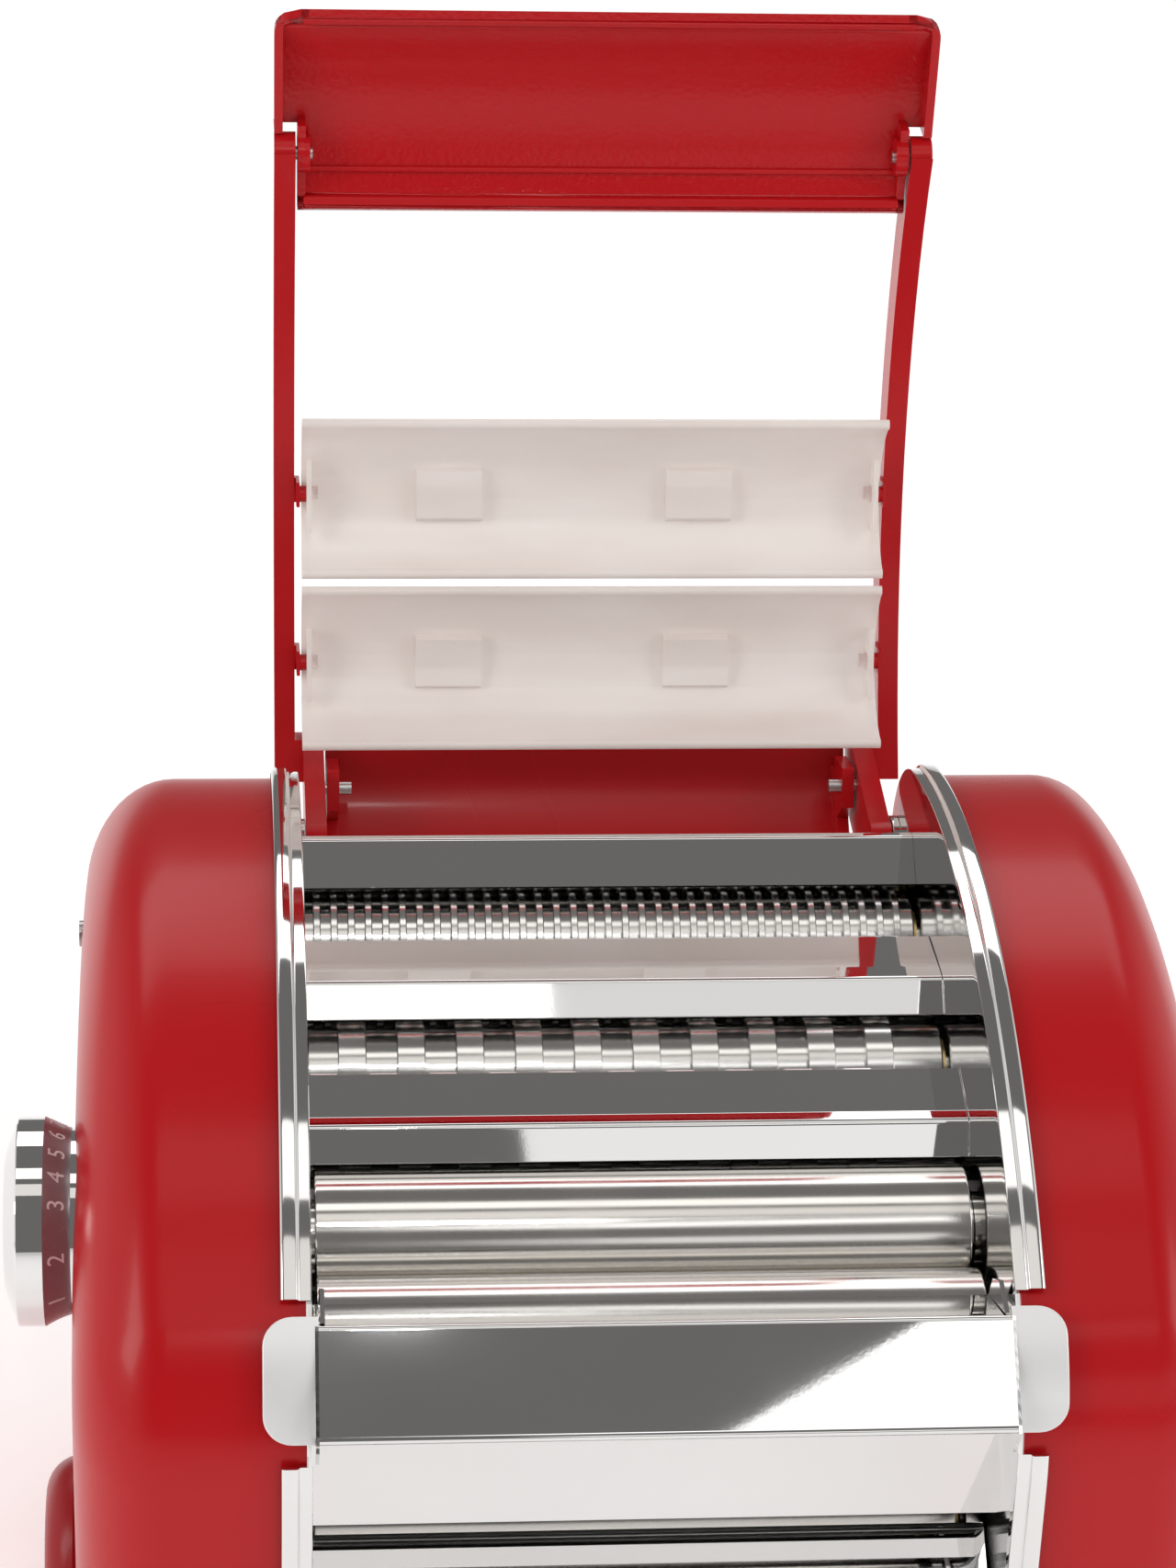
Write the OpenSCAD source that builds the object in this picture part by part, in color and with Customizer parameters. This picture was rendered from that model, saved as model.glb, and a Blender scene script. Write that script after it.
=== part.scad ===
// Motorised pasta roller machine: two red housings beside a chrome roller unit,
// with a hinged lid that carries two clear covers and a feed flap.
// X runs along the rollers, Y from front to back, Z up; the origin is on the table.

/* [Roller unit] */
// Clear width between the two side plates
inner_w = 145; // [138:1:180]
// Sheet thickness of the chrome side plates
plate_t = 1.2; // [1:0.1:1.6]
// Distance from the origin to the front edge of the side plates
front_y = 105; // [103:1:112]
// Distance from the origin to the rear edge of the side plates
rear_y = 103; // [101:1:108]
// Height of the highest point of the side plates
crown_z = 199; // [197:1:206]
// Radius of the long top curve of the side plates
crown_r = 180; // [170:1:190]
// Radius of the front corner of the side plates
front_corner_r = 45; // [42:1:48]
// Radius of the rear corner of the side plates
rear_corner_r = 32; // [31:1:36]
// Width of the bent rim of a side plate
rim_w = 6.5; // [5.5:0.5:8]
// Height of the outer step of the rim
rim_step = 1; // [0.6:0.1:1.2]

/* [Housings] */
// Width of one red housing
housing_w = 48.1; // [46:0.1:60]
// Wall of a red housing
housing_wall = 2.6; // [2:0.1:3.5]
// Depth of the rounded outer edge, measured across the width
edge_x = 20.3; // [14:0.1:22]
// Depth of the rounded outer edge, measured from the profile
edge_n = 26.2; // [20:0.1:27]

/* [Smooth rollers] */
// Radius of the smooth rollers
smooth_r = 14.2; // [13.9:0.1:14.3]
// Smallest gap between the smooth rollers
gap_min = 0.4; // [0.3:0.1:0.8]
// Way that the rear smooth roller moves from its middle place, each side
gap_travel = 0.8; // [0.6:0.05:0.9]
// Turn of the thickness dial from its middle place, each side
dial_turn = 54; // [36:18:54]

/* [Cutters] */
// Radius over the cutting discs
cutter_r = 12; // [11.6:0.1:12.2]
// Width of a spaghetti strand
spaghetti_w = 2; // [2:0.1:3]
// Width of a fettuccine strand
fettuccine_w = 6.6; // [5:0.1:8]
// Gap between the flank of a disc and the flank of its groove
disc_gap = 0.3; // [0.25:0.05:0.35]

/* [Lid] */
// Angle between the closed lid and its rest, standing open
lid_open = 105; // [95:1:108]
// Width of a lid arm
arm_w = 5; // [4:0.5:6]
// Depth of a lid arm
arm_depth = 10; // [8:0.5:11]
// Gap between a closed arm and the curve of the side plates
arm_gap = 2.5; // [2:0.1:3]
// Thickness of the clear covers
cover_t = 1.8; // [1.2:0.1:2.2]

/* [Controls] */
// Radius of the thickness dial
dial_r = 22.5; // [18:0.5:24]
// Distance that the thickness dial stands out
dial_h = 15.2; // [11:0.2:16]
// Radius of the switch knob
knob_r = 23; // [18:0.5:25]
// Distance that the switch knob stands out
knob_h = 8.4; // [6:0.2:12]

/* [Base] */
// Height of the rubber feet
foot_h = 5.5; // [4:0.5:8]
// Thickness of the base plate
base_t = 3; // [2:0.5:4]

/* [Hidden] */

red = [0.69, 0.09, 0.11];
dark_red = [0.5, 0.07, 0.09];
chrome = [0.82, 0.82, 0.84];
steel = [0.62, 0.62, 0.64];
brass = [0.8, 0.66, 0.35];
black = [0.12, 0.12, 0.12];
milky = [0.9, 0.87, 0.85, 0.75];

hx = inner_w / 2;                      // inner face of a side plate
px = hx + plate_t;                     // its outer face
rim_x = hx + rim_w;                    // outer edge of its rim
out_x = px + 0.3 + housing_w;          // outer face of a housing
base_z = foot_h;
deck_z = base_z + base_t;              // top of the base plate
fit = 0.05;                            // radial running fit
gap = 0.3;                             // clearance between free parts
sheet = 1;                             // thickness of the guide sheets

// ---- side profile: one long curve between two round corners ----
crown_y = 30;
top_c = [crown_y, crown_z - crown_r];
front_c = [front_corner_r - front_y,
  top_c[1] + sqrt(pow(crown_r - front_corner_r, 2) - pow(crown_y - front_corner_r + front_y, 2))];
rear_c = [rear_y - rear_corner_r,
  top_c[1] + sqrt(pow(crown_r - rear_corner_r, 2) - pow(rear_y - rear_corner_r - crown_y, 2))];
front_a = atan2(front_c[1] - top_c[1], front_c[0] - top_c[0]);
rear_a = atan2(rear_c[1] - top_c[1], rear_c[0] - top_c[0]);

function polar(c, r, a) = [c[0] + r * cos(a), c[1] + r * sin(a)];
function arc(c, r, a0, a1, n) = [for (i = [0 : n]) polar(c, r, a0 + (a1 - a0) * i / n)];
// points of the profile, grown by off, from its rear foot over the top to its front foot
function rim(off, foot) = concat([[rear_y + off, foot]], arc(rear_c, rear_corner_r + off, 0, rear_a, 10),
  arc(top_c, crown_r + off, rear_a + 2, front_a - 2, 18),
  arc(front_c, front_corner_r + off, front_a, 180, 12), [[-front_y - off, foot]]);
// height of the long top curve, grown by off, at a place along Y
function top_z(y, off) = top_c[1] + sqrt(pow(crown_r + off, 2) - pow(y - crown_y, 2));
function back(pts) = [for (i = [len(pts) - 1 : -1 : 0]) pts[i]];
// a bent strip of sheet: the points run along one face, the other lies t to their left
function side(a, b) = let (d = b - a, l = norm(d)) [-d[1] / l, d[0] / l];
function miter(p, i, t) =
  i == 0 ? p[0] + t * side(p[0], p[1]) :
  i == len(p) - 1 ? p[i] + t * side(p[i - 1], p[i]) :
  let (a = side(p[i - 1], p[i]), b = side(p[i], p[i + 1]), m = (a + b) / norm(a + b)) p[i] + t * m / (m * a);
function strip(p, t) = concat(p, back([for (i = [0 : len(p) - 1]) miter(p, i, t)]));

// ---- places in the side view, [y, z] ----
cutter_gear_n = 18;
gear_m = 1.25;
cutter_d = cutter_gear_n * gear_m;                    // distance between a cutter's two shafts
spaghetti_c = [51.6, crown_z - 43.5];
fettuccine_c = [3, crown_z - 50];
sp_front = spaghetti_c - [cutter_d / 2, 0];
sp_rear = spaghetti_c + [cutter_d / 2, 0];
fe_front = fettuccine_c - [cutter_d / 2, 0];
fe_rear = fettuccine_c + [cutter_d / 2, 0];
smooth_d = 2 * smooth_r + gap_min + gap_travel;       // shaft distance with the dial in its middle
feed_a = 17;                                          // slope of the line between the smooth rollers
feed_u = [cos(feed_a), sin(feed_a)];
sm_rear = [-33.5, crown_z - 62];
sm_front = sm_rear - smooth_d * feed_u;
dial_c = sm_rear + [0, 5];
smooth_gear_n = 23;
drive_gear_n = 32;
idler_n = 24;
cutter_idler_n = 22;
high_n = 64;
pinion_n = 12;
low_m = 1;
low_n = 78;
// third corner of a triangle over a and b, with the distances ra and rb, on the side s
function corner(a, b, ra, rb, s) = let (d = norm(b - a), x = (d * d + ra * ra - rb * rb) / (2 * d),
  h = sqrt(ra * ra - x * x), u = (b - a) / d) a + x * u + s * h * [-u[1], u[0]];
function mesh_d(n1, n2, m) = (n1 + n2) * m / 2;
cutter_idler = corner(fe_front, sp_front, mesh_d(cutter_gear_n, cutter_idler_n, gear_m),
  mesh_d(cutter_gear_n, cutter_idler_n, gear_m), -1);
drive_idler = corner(sm_front, fe_front, mesh_d(drive_gear_n, idler_n, gear_m),
  mesh_d(cutter_gear_n, idler_n, gear_m), -1);
// place behind c, at the distance d from it and at the height z
function behind(c, d, z) = [c[0] + sqrt(d * d - pow(z - c[1], 2)), z];
high_c = polar(sm_front, mesh_d(drive_gear_n, high_n, gear_m), -76);
low_c = behind(high_c, mesh_d(high_n, pinion_n, gear_m), deck_z + 51);
motor_c = behind(low_c, mesh_d(low_n, pinion_n, low_m), deck_z + 46);
hinge = [rear_y - 11, crown_z - 36];
pivot_y = -75;
pivot = [pivot_y, top_z(pivot_y, arm_gap + arm_depth / 2)];
knob_c = [-30, 49];

// ---- planes along X on the gear side ----
plane_a = px + 3.3;
gear_w = 5;
plane_b = plane_a + gear_w + 3;
bridge_x = plane_b + gear_w + 3;
bridge_t = 2.5;
journal_r = 5;

// moves the machine so that the origin is under the middle of its outline, lid open
module place() translate([shift_x, shift_y, 0]) children();
// draws children in the side view and raises them along +X from x0
module along_x(x0) translate([x0, 0, 0]) rotate([90, 0, 90]) children();
module bar(x0, x1, c, r, fn = 48) along_x(x0) translate([c[0], c[1], 0])
  cylinder(r = r, h = x1 - x0, $fn = fn);
module plate2(x0, x1, pts) along_x(x0) linear_extrude(x1 - x0) polygon(pts);
module both_sides() {
  children();
  mirror([1, 0, 0]) children();
}

// ---- involute spur gear, its first tooth at the angle a ----
function inv_pt(rb, t) = rb * [cos(t) + t * PI / 180 * sin(t), sin(t) - t * PI / 180 * cos(t)];
function roll(rb, r) = r <= rb ? 0 : sqrt(pow(r / rb, 2) - 1) * 180 / PI;
function turn(p, a) = [p[0] * cos(a) - p[1] * sin(a), p[0] * sin(a) + p[1] * cos(a)];
function flat_mirror(pts) = [for (i = [len(pts) - 1 : -1 : 0]) [pts[i][0], -pts[i][1]]];
backlash = 0.3;                        // play between two teeth
function flank(n, m) = let (r = n * m / 2, rb = r * cos(20), ra = r + 0.92 * m, rf = r - 1.2 * m,
  half = 90 / n - backlash / 2 / r * 180 / PI, tp = inv_pt(rb, roll(rb, r)), lead = atan2(tp[1], tp[0]))
  concat([turn([rf, 0], -half - lead)],
    [for (k = [0 : 3]) let (q = max(rb, rf + 0.01) + (ra - max(rb, rf + 0.01)) * k / 3)
      turn(inv_pt(rb, roll(rb, q)), -half - lead)]);
function gear_pts(n, m, a) = [for (i = [0 : n - 1]) each
  [for (p = concat(flank(n, m), flat_mirror(flank(n, m)))) turn(p, a + i * 360 / n)]];
// angle of the first tooth of the gear at cj, so that it meshes with the gear at ci
function mesh_a(ci, cj, ai, ni, nj) = let (t = atan2(cj[1] - ci[1], cj[0] - ci[0]))
  t + 180 - (0.5 - (t - ai) * ni / 360) * 360 / nj;
module gear(x0, w, c, n, m, a) along_x(x0) translate([c[0], c[1], 0])
  linear_extrude(w) polygon(gear_pts(n, m, a));

front_gear_a = 0;
drive_gear_a = 0;
rear_gear_a = mesh_a(sm_front, sm_rear, front_gear_a, smooth_gear_n, smooth_gear_n);
idler_a = mesh_a(sm_front, drive_idler, drive_gear_a, drive_gear_n, idler_n);
fe_front_a = mesh_a(drive_idler, fe_front, idler_a, idler_n, cutter_gear_n);
cutter_idler_a = mesh_a(fe_front, cutter_idler, fe_front_a, cutter_gear_n, cutter_idler_n);
sp_front_a = mesh_a(cutter_idler, sp_front, cutter_idler_a, cutter_idler_n, cutter_gear_n);
fe_rear_a = mesh_a(fe_front, fe_rear, 0, cutter_gear_n, cutter_gear_n);
sp_rear_a = mesh_a(sp_front, sp_rear, 0, cutter_gear_n, cutter_gear_n);
high_a = mesh_a(sm_front, high_c, drive_gear_a, drive_gear_n, high_n);
low_pinion_a = mesh_a(high_c, low_c, high_a, high_n, pinion_n);
motor_pinion_a = mesh_a(low_c, motor_c, 0, low_n, pinion_n);

// ---- base ----
base_x = out_x - housing_wall - 0.6;
foot_x = out_x - 26;
foot_y = [-front_y + 24, rear_y - 24];
foot_r = 11;
module feet_at() for (x = [-foot_x, foot_x], y = foot_y) translate([x, y, 0]) children();
base_in = housing_wall + 2.4;
module base_plate() color(black) place() difference() {
  translate([0, 0, base_z]) linear_extrude(base_t) polygon([
    [-base_x + edge_x, -front_y + base_in], [base_x - edge_x, -front_y + base_in],
    [base_x, -front_y + base_in + edge_n], [base_x, rear_y - base_in - edge_n],
    [base_x - edge_x, rear_y - base_in], [-base_x + edge_x, rear_y - base_in],
    [-base_x, rear_y - base_in - edge_n], [-base_x, -front_y + base_in + edge_n]]);
  feet_at() translate([0, 0, base_z - 1]) cylinder(r = 2.1, h = base_t + 2, $fn = 24);
  for (i = [-3 : 3]) translate([i * 14 - 2, -20, base_z - 1]) cube([4, 60, base_t + 2]);
}
module rubber_feet() color(black) place() feet_at() difference() {
  cylinder(r = foot_r, h = foot_h, $fn = 48);
  translate([0, 0, -1]) cylinder(r = 5, h = 3, $fn = 32);
  cylinder(r = 2.1, h = foot_h + 1, $fn = 24);
}

// ---- housings ----
housing_off = -plate_t - 0.4;
housing_in_x = px;
edge_steps = [0, 0.06, 0.2, 0.45, 1];
function edge_inset(t, depth) = depth * (1 - sqrt(1 - pow(1 - t, 2)));
module housing_form(x_out, off, ex, en, x_in, foot) hull() {
  plate2(x_in, x_in + 0.1, rim(off, foot));
  for (t = edge_steps) plate2(x_out - ex * t - 0.02, x_out - ex * t, rim(off - edge_inset(t, en), foot));
}
module housing_shell() difference() {
  housing_form(out_x, housing_off, edge_x, edge_n, housing_in_x, base_z);
  housing_form(out_x - housing_wall, housing_off - housing_wall, edge_x - 1, edge_n - 1.5,
    housing_in_x - 1, -5);
}
low_screws = [[-72, 28], [72, 28]];
top_screw = [45, crown_z - 30];
housing_screw_at = concat(low_screws, [top_screw]);
// the shell with its screw bosses
module housing() difference() {
  union() {
    housing_shell();
    for (c = low_screws) bar(housing_in_x, out_x - housing_wall + 0.1, c, 4, 32);
    bar(out_x - 12, out_x - housing_wall + 0.1, top_screw, 4, 32);
  }
  for (c = housing_screw_at) bar(out_x - 11, out_x + 1, c, 1.5, 20);
}
screw_head_r = 3;
module right_housing() color(red) place() difference() {
  housing();
  translate([inlet_x - 12, rear_y - 12, inlet_z - 9]) cube([24, 20, 18]);
}
dial_neck_r = dial_r - 2.5;
// index mark of the dial, on the rounded edge of the housing
index_c = polar(dial_c, dial_neck_r + 4.5, 150);
index_depth = front_corner_r + housing_off - norm(index_c - front_c);
index_x = out_x - edge_inset(min(1, index_depth / edge_n), edge_x);
module left_housing() color(red) place() difference() {
  union() {
    mirror([1, 0, 0]) housing();
    bar(-index_x - 1.2, -index_x + 1.8, index_c, 2, 24);
  }
  bar(-out_x - 1, -out_x + 8, dial_c, dial_neck_r + 0.5, 72);
  bar(-out_x - 1, -out_x + 8, knob_c, 6.4, 32);
}
module screws() color(steel) place() {
  both_sides() for (c = housing_screw_at) {
    bar(out_x, out_x + 0.9, c, screw_head_r, 24);
    bar(out_x - 9, out_x, c, 1.5, 20);
  }
  feet_at() {
    translate([0, 0, 2]) cylinder(r = 2.1, h = deck_z, $fn = 24);
    translate([0, 0, 0.6]) cylinder(r = 4, h = 1.4, $fn = 32);
  }
}

// ---- side plates ----
notch_a0 = 127;
notch_a1 = 170;
slot_r = 8.5;
journal_big_r = 8;
bush_r = 7;
fixed_shafts = [sm_front, sp_front, sp_rear, fe_front, fe_rear];
rod_r = 4;
rod_c = [[24, crown_z - 95], [84, crown_z - 81], [-82, crown_z - 91], [-70, 40]];
module rim_band(x0, x1, o0, o1) along_x(x0) linear_extrude(x1 - x0) difference() {
  polygon(rim(o1, deck_z));
  polygon(rim(o0, deck_z - 1));
}
module notch_wedge() along_x(px) linear_extrude(rim_w + 1) polygon(concat([front_c],
  arc(front_c, front_corner_r * 1.3, notch_a0, notch_a1, 8)));
module side_plate() difference() {
  union() {
    plate2(hx, px, rim(0, deck_z));
    difference() {
      union() {
        rim_band(px - 0.01, hx + rim_w * 0.43, -plate_t, 0);
        rim_band(hx + rim_w * 0.43 - 0.01, rim_x, -plate_t + rim_step, rim_step);
      }
      notch_wedge();
    }
  }
  for (c = fixed_shafts) bar(hx - 1, px + 1, c, bush_r + 0.02);
  for (c = rod_c) bar(hx - 1, px + 1, c, 2.1, 24);
  bar(hx - 1, px + 1, hinge, 3.05, 32);
  for (k = [-1, 1]) bar(hx - 1, px + 1, sm_rear + k * (gap_travel + 0.2) * feed_u, slot_r);
  along_x(hx - 1) linear_extrude(plate_t + 2) translate(sm_rear) rotate(feed_a)
    square([2 * gap_travel + 0.4, 2 * slot_r], center = true);
  link_slot();
}
link_c = [-30, crown_z - 83];
link_r = 3;
module link_slot() {
  for (k = [-1, 1]) bar(hx - 1, px + 1, link_c + k * (gap_travel + 0.2) * feed_u, link_r + 0.4, 32);
  along_x(hx - 1) linear_extrude(plate_t + 2) translate(link_c) rotate(feed_a)
    square([2 * gap_travel + 0.4, 2 * link_r + 0.8], center = true);
}
module right_side_plate() color(chrome) place() difference() {
  side_plate();
  bar(hx - 1, px + 1, low_c, 4.1, 32);
  bar(hx - 1, px + 1, high_c, 4.1, 32);
  bar(hx - 1, px + 1, motor_c, 9, 48);
}
module left_side_plate() color(chrome) place() mirror([1, 0, 0]) side_plate();

// ---- sheets between the side plates ----
span = hx;
module sheet_part(pts, t = sheet) plate2(-span, span, strip(pts, t));
guide_top = crown_z - 20.3;
module rear_guide_sheet() color(chrome) place()
  sheet_part([[62.6, guide_top - 7.9], [71.8, guide_top], [74.4, guide_top], [78, crown_z - 57]], -sheet);
module middle_guide_sheet() color(chrome) place()
  sheet_part([[14.2, crown_z - 35.6], [20, crown_z - 29.2], [25, crown_z - 29.2],
    [40.7, crown_z - 30]], -sheet);
module front_guide_sheet() color(chrome) place()
  sheet_part([[-27.6, crown_z - 47.4], [-24.3, crown_z - 40], [-21, crown_z - 39.5],
    [-8.2, crown_z - 36.3]], -sheet);
chute_pts = [[79, crown_z - 60.5], [-77.7, crown_z - 109.4], [-86, crown_z - 115.6], [-100.2, crown_z - 133]];
module chute() color(chrome) place() sheet_part(back(chute_pts), -sheet);
module outlet_plate() color(chrome) place()
  sheet_part([[-96.6, crown_z - 70.8], [-88.6, crown_z - 96.4], [-84, crown_z - 98]], -sheet);
front_panel_top = crown_z - 134.4;
module front_panel() color(chrome) place() plate2(-span, span,
  [[-101.2, deck_z], [-100.2, deck_z], [-100.2, front_panel_top], [-101.2, front_panel_top]]);
rear_panel_top = crown_z - 63;
module rear_panel() color(chrome) place()
  plate2(-span, span, strip([[98, deck_z], [98, rear_panel_top], [90, rear_panel_top + 3],
    [80.5, rear_panel_top + 1]], sheet));
module tie_rods() color(steel) place() for (c = rod_c) {
  bar(-hx, hx, c, rod_r, 32);
  bar(-px - 3, px + 3, c, 2, 24);
  both_sides() bar(px, px + 2.6, c, 3.6, 6);
}

// ---- bushes, combs and scrapers ----
cutter_x = hx - 0.9;                                // half the length of a cutter
core_r = cutter_d - cutter_r - 0.4;
module roller_bushes() color(brass) place() both_sides() for (c = fixed_shafts) difference() {
  union() {
    bar(hx - 0.3, px, c, bush_r);
    bar(px, px + 1.6, c, 9.2);
  }
  bar(hx - 1, px + 3, c, journal_r + fit);
}
comb_tooth = 1.1;
comb_reach = 0.5;
// a bar below a cutter, with fingers that stand in every step-th groove of it
module comb(axis, w, shift, step, s) {
  low = core_r + comb_reach;
  plate2(-span, span, [axis + [-2, -20], axis + [2, -20], axis + [2, -14.5], axis + [-2, -14.5]]);
  for (i = [0 : step : floor((2 * cutter_x - shift) / (2 * w)) - 1])
    let (x = -cutter_x + (shift == 0 ? 1.5 : 0.5) * w + i * 2 * w)
      plate2(x - comb_tooth / 2, x + comb_tooth / 2, [axis + [-1.5, -14.6], axis + [1.5, -14.6],
        axis + [1.5 - s * 1.5, -low], axis + [-1.5 - s * 1.5, -low]]);
}
module cutter_combs() color(steel) place() {
  comb(sp_front, spaghetti_w, 0, 2, -1);
  comb(sp_rear, spaghetti_w, spaghetti_w, 2, 1);
  comb(fe_front, fettuccine_w, 0, 1, -1);
  comb(fe_rear, fettuccine_w, fettuccine_w, 1, 1);
}
module roller_scrapers() color(steel) place() {
  sheet_part([sm_front + [-16, -13.4], sm_front + [-10, -12.8], sm_front + [-8.5, -11.9]], -0.8);
  sheet_part([sm_rear + [4, -14.8 - gap_travel], sm_rear + [8, -17], sm_rear + [14, -17.4]], -0.8);
}

// ---- smooth rollers and their gap ----
smooth_len = inner_w - 3;
dial_shaft_r = 4;
module front_smooth_roller() color(chrome) place() {
  bar(-smooth_len / 2, smooth_len / 2, sm_front, smooth_r, 96);
  bar(-px - 4, bridge_x + bridge_t - 0.2, sm_front, journal_r);
  both_sides() bar(smooth_len / 2, hx - 0.5, sm_front, journal_r + 2);
}
module front_roller_gears() color(steel) place() difference() {
  union() {
    gear(plane_a, gear_w, sm_front, smooth_gear_n, gear_m, front_gear_a);
    gear(plane_b, gear_w, sm_front, drive_gear_n, gear_m, drive_gear_a);
    bar(plane_a, plane_b + gear_w, sm_front, journal_r + 3.5);
  }
  bar(plane_a - 1, plane_b + gear_w + 1, sm_front, journal_r);
}
module rear_smooth_roller() color(chrome) place() {
  bar(-smooth_len / 2, smooth_len / 2, sm_rear, smooth_r, 96);
  bar(-px - 5.3, plane_a + gear_w, sm_rear, journal_big_r);
}
module rear_roller_gear() color(steel) place() difference() {
  gear(plane_a, gear_w, sm_rear, smooth_gear_n, gear_m, rear_gear_a);
  bar(plane_a - 1, plane_a + gear_w + 1, sm_rear, journal_big_r);
}
block_w = 23;
block_len = 24;
module block_form(x0, x1) along_x(x0) linear_extrude(x1 - x0) translate(sm_rear) rotate(feed_a)
  square([block_len, block_w], center = true);
module link_arm(x0, x1) along_x(x0) linear_extrude(x1 - x0) union() {
  polygon([sm_rear + [9, -6], link_c + [5, 0], link_c + [-5, 0], sm_rear + [-5, -8]]);
  translate(link_c) circle(r = 5, $fn = 32);
}
block_x0 = px + 0.3;
block_x1 = plane_a - 0.3;
module right_bearing_block() color(steel) place() difference() {
  union() {
    block_form(block_x0, block_x1);
    link_arm(block_x0, block_x1);
  }
  bar(px, plane_a + 1, sm_rear, journal_big_r + fit);
  bar(px, plane_a + 1, link_c, link_r);
}
cam_e = gap_travel / sin(dial_turn);
cam_r = 8;
cam_x = px + 5.8;
cam_w = 4;
cam_dir = feed_a + 90;
module left_bearing_block() color(steel) place() mirror([1, 0, 0]) difference() {
  union() {
    block_form(block_x0, px + 5.5);
    along_x(px + 3.3) linear_extrude(cam_x + cam_w - px - 3.3) translate(dial_c) rotate(feed_a)
      square([block_len - 2, block_w], center = true);
    link_arm(block_x0, block_x1);
  }
  bar(px, px + 5.6, sm_rear, journal_big_r + fit);
  bar(px + 5.4, cam_x + cam_w + 1, polar(dial_c, cam_e + 0.2, cam_dir), cam_r + 0.2);
  bar(px + 5.4, cam_x + cam_w + 1, polar(dial_c, cam_e - 0.7, cam_dir), cam_r + 0.2);
  along_x(px + 5.4) linear_extrude(cam_w + 3) translate(polar(dial_c, cam_e - 0.25, cam_dir)) rotate(feed_a)
    square([2 * cam_r + 0.4, 0.9], center = true);
  bar(px, plane_a + 1, link_c, link_r);
}
module block_link() color(steel) place() bar(-block_x1, block_x1, link_c, link_r, 32);
module block_guides() color(steel) place() both_sides() for (c = [[-11, 1], [11, 1], [11, -1]])
  along_x(px) linear_extrude(block_x1 - px) translate(sm_rear) rotate(feed_a)
    translate([c[0], c[1] * (block_w / 2 + 1.6)]) square([9, 2.6], center = true);
module dial_shaft() color(steel) place() {
  bar(-out_x - 2, -cam_x - cam_w + 0.2, dial_c, dial_shaft_r, 48);
  bar(-cam_x - cam_w + 0.1, -cam_x, polar(dial_c, cam_e, cam_dir), cam_r);
}
dial_bracket_x = px + 13;
dial_posts = [[-60, crown_z - 47], [-4, crown_z - 71], [-58, crown_z - 91]];
module dial_bracket() color(steel) place() mirror([1, 0, 0]) difference() {
  union() {
    plate2(dial_bracket_x, dial_bracket_x + 2.5, [[-66, crown_z - 41], [-20, crown_z - 41],
      [2, crown_z - 65], [2, crown_z - 77], [-10, crown_z - 81], [-54, crown_z - 97], [-66, crown_z - 93]]);
    for (c = dial_posts) bar(px, dial_bracket_x, c, 4, 32);
  }
  bar(px, dial_bracket_x + 4, dial_c, dial_shaft_r + fit);
}
// neck, a hollow flare that carries the numbers, a flange and a wide bevel
module thickness_dial() color(chrome) place() translate([-out_x, dial_c[0], dial_c[1]])
  rotate([0, -90, 0]) difference() {
    rotate_extrude($fn = 120) polygon([[0, -4], [dial_neck_r, -4], [dial_neck_r, dial_h * 0.145],
      [dial_neck_r + 0.25, dial_h * 0.224], [dial_neck_r + 0.9, dial_h * 0.31],
      [dial_neck_r + 1.8, dial_h * 0.4], [dial_r, dial_h * 0.467], [dial_r, dial_h * 0.796],
      [dial_r * 0.667, dial_h * 0.98], [0, dial_h]]);
    translate([0, 0, -5]) cylinder(r = dial_shaft_r, h = 7, $fn = 48);
    difference() {
      translate([0, 0, -5]) cylinder(r = dial_neck_r - 2.5, h = 6, $fn = 72);
      translate([0, 0, -6]) cylinder(r = dial_shaft_r + 4, h = 8, $fn = 48);
    }
  }
module detent_plunger() color(brass) place() {
  bar(-out_x + 4.4, -out_x + 12, polar(dial_c, 17, 250), 1.5, 24);
  bar(-out_x + 12, -dial_bracket_x - 2.5, polar(dial_c, 17, 250), 3, 24);
}

// ---- cutters ----
module cutter(c, w, shift, core) {
  x0 = -cutter_x;
  bar(x0, -x0, c, core);
  for (i = [0 : floor((-2 * x0 - shift) / (2 * w)) - 1]) let (x = x0 + shift + i * 2 * w)
    bar(x + disc_gap / 2, x + w - disc_gap / 2, c, cutter_r, 72);
}
module cutter_shaft(c, end) bar(-plane_a - gear_w, end, c, journal_r);
module spaghetti_roller_front() color(steel) place() {
  cutter(sp_front, spaghetti_w, 0, core_r);
  cutter_shaft(sp_front, bridge_x + bridge_t - 0.2);
}
module spaghetti_roller_rear() color(steel) place() {
  cutter(sp_rear, spaghetti_w, spaghetti_w, core_r);
  cutter_shaft(sp_rear, px + 4);
}
module fettuccine_roller_front() color(steel) place() {
  cutter(fe_front, fettuccine_w, 0, core_r);
  cutter_shaft(fe_front, bridge_x + bridge_t - 0.2);
}
module fettuccine_roller_rear() color(steel) place() {
  cutter(fe_rear, fettuccine_w, fettuccine_w, core_r);
  cutter_shaft(fe_rear, px + 4);
}
module shaft_gear(x0, c, a) difference() {
  gear(x0, gear_w, c, cutter_gear_n, gear_m, a);
  bar(x0 - 1, x0 + gear_w + 1, c, journal_r);
}
module spaghetti_front_gears() color(steel) place() {
  shaft_gear(-plane_a - gear_w, sp_front, 0);
  shaft_gear(plane_b, sp_front, sp_front_a);
}
module spaghetti_rear_gear() color(steel) place() shaft_gear(-plane_a - gear_w, sp_rear, sp_rear_a);
module fettuccine_front_gears() color(steel) place() {
  shaft_gear(-plane_a - gear_w, fe_front, 0);
  shaft_gear(plane_b, fe_front, fe_front_a);
}
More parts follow.
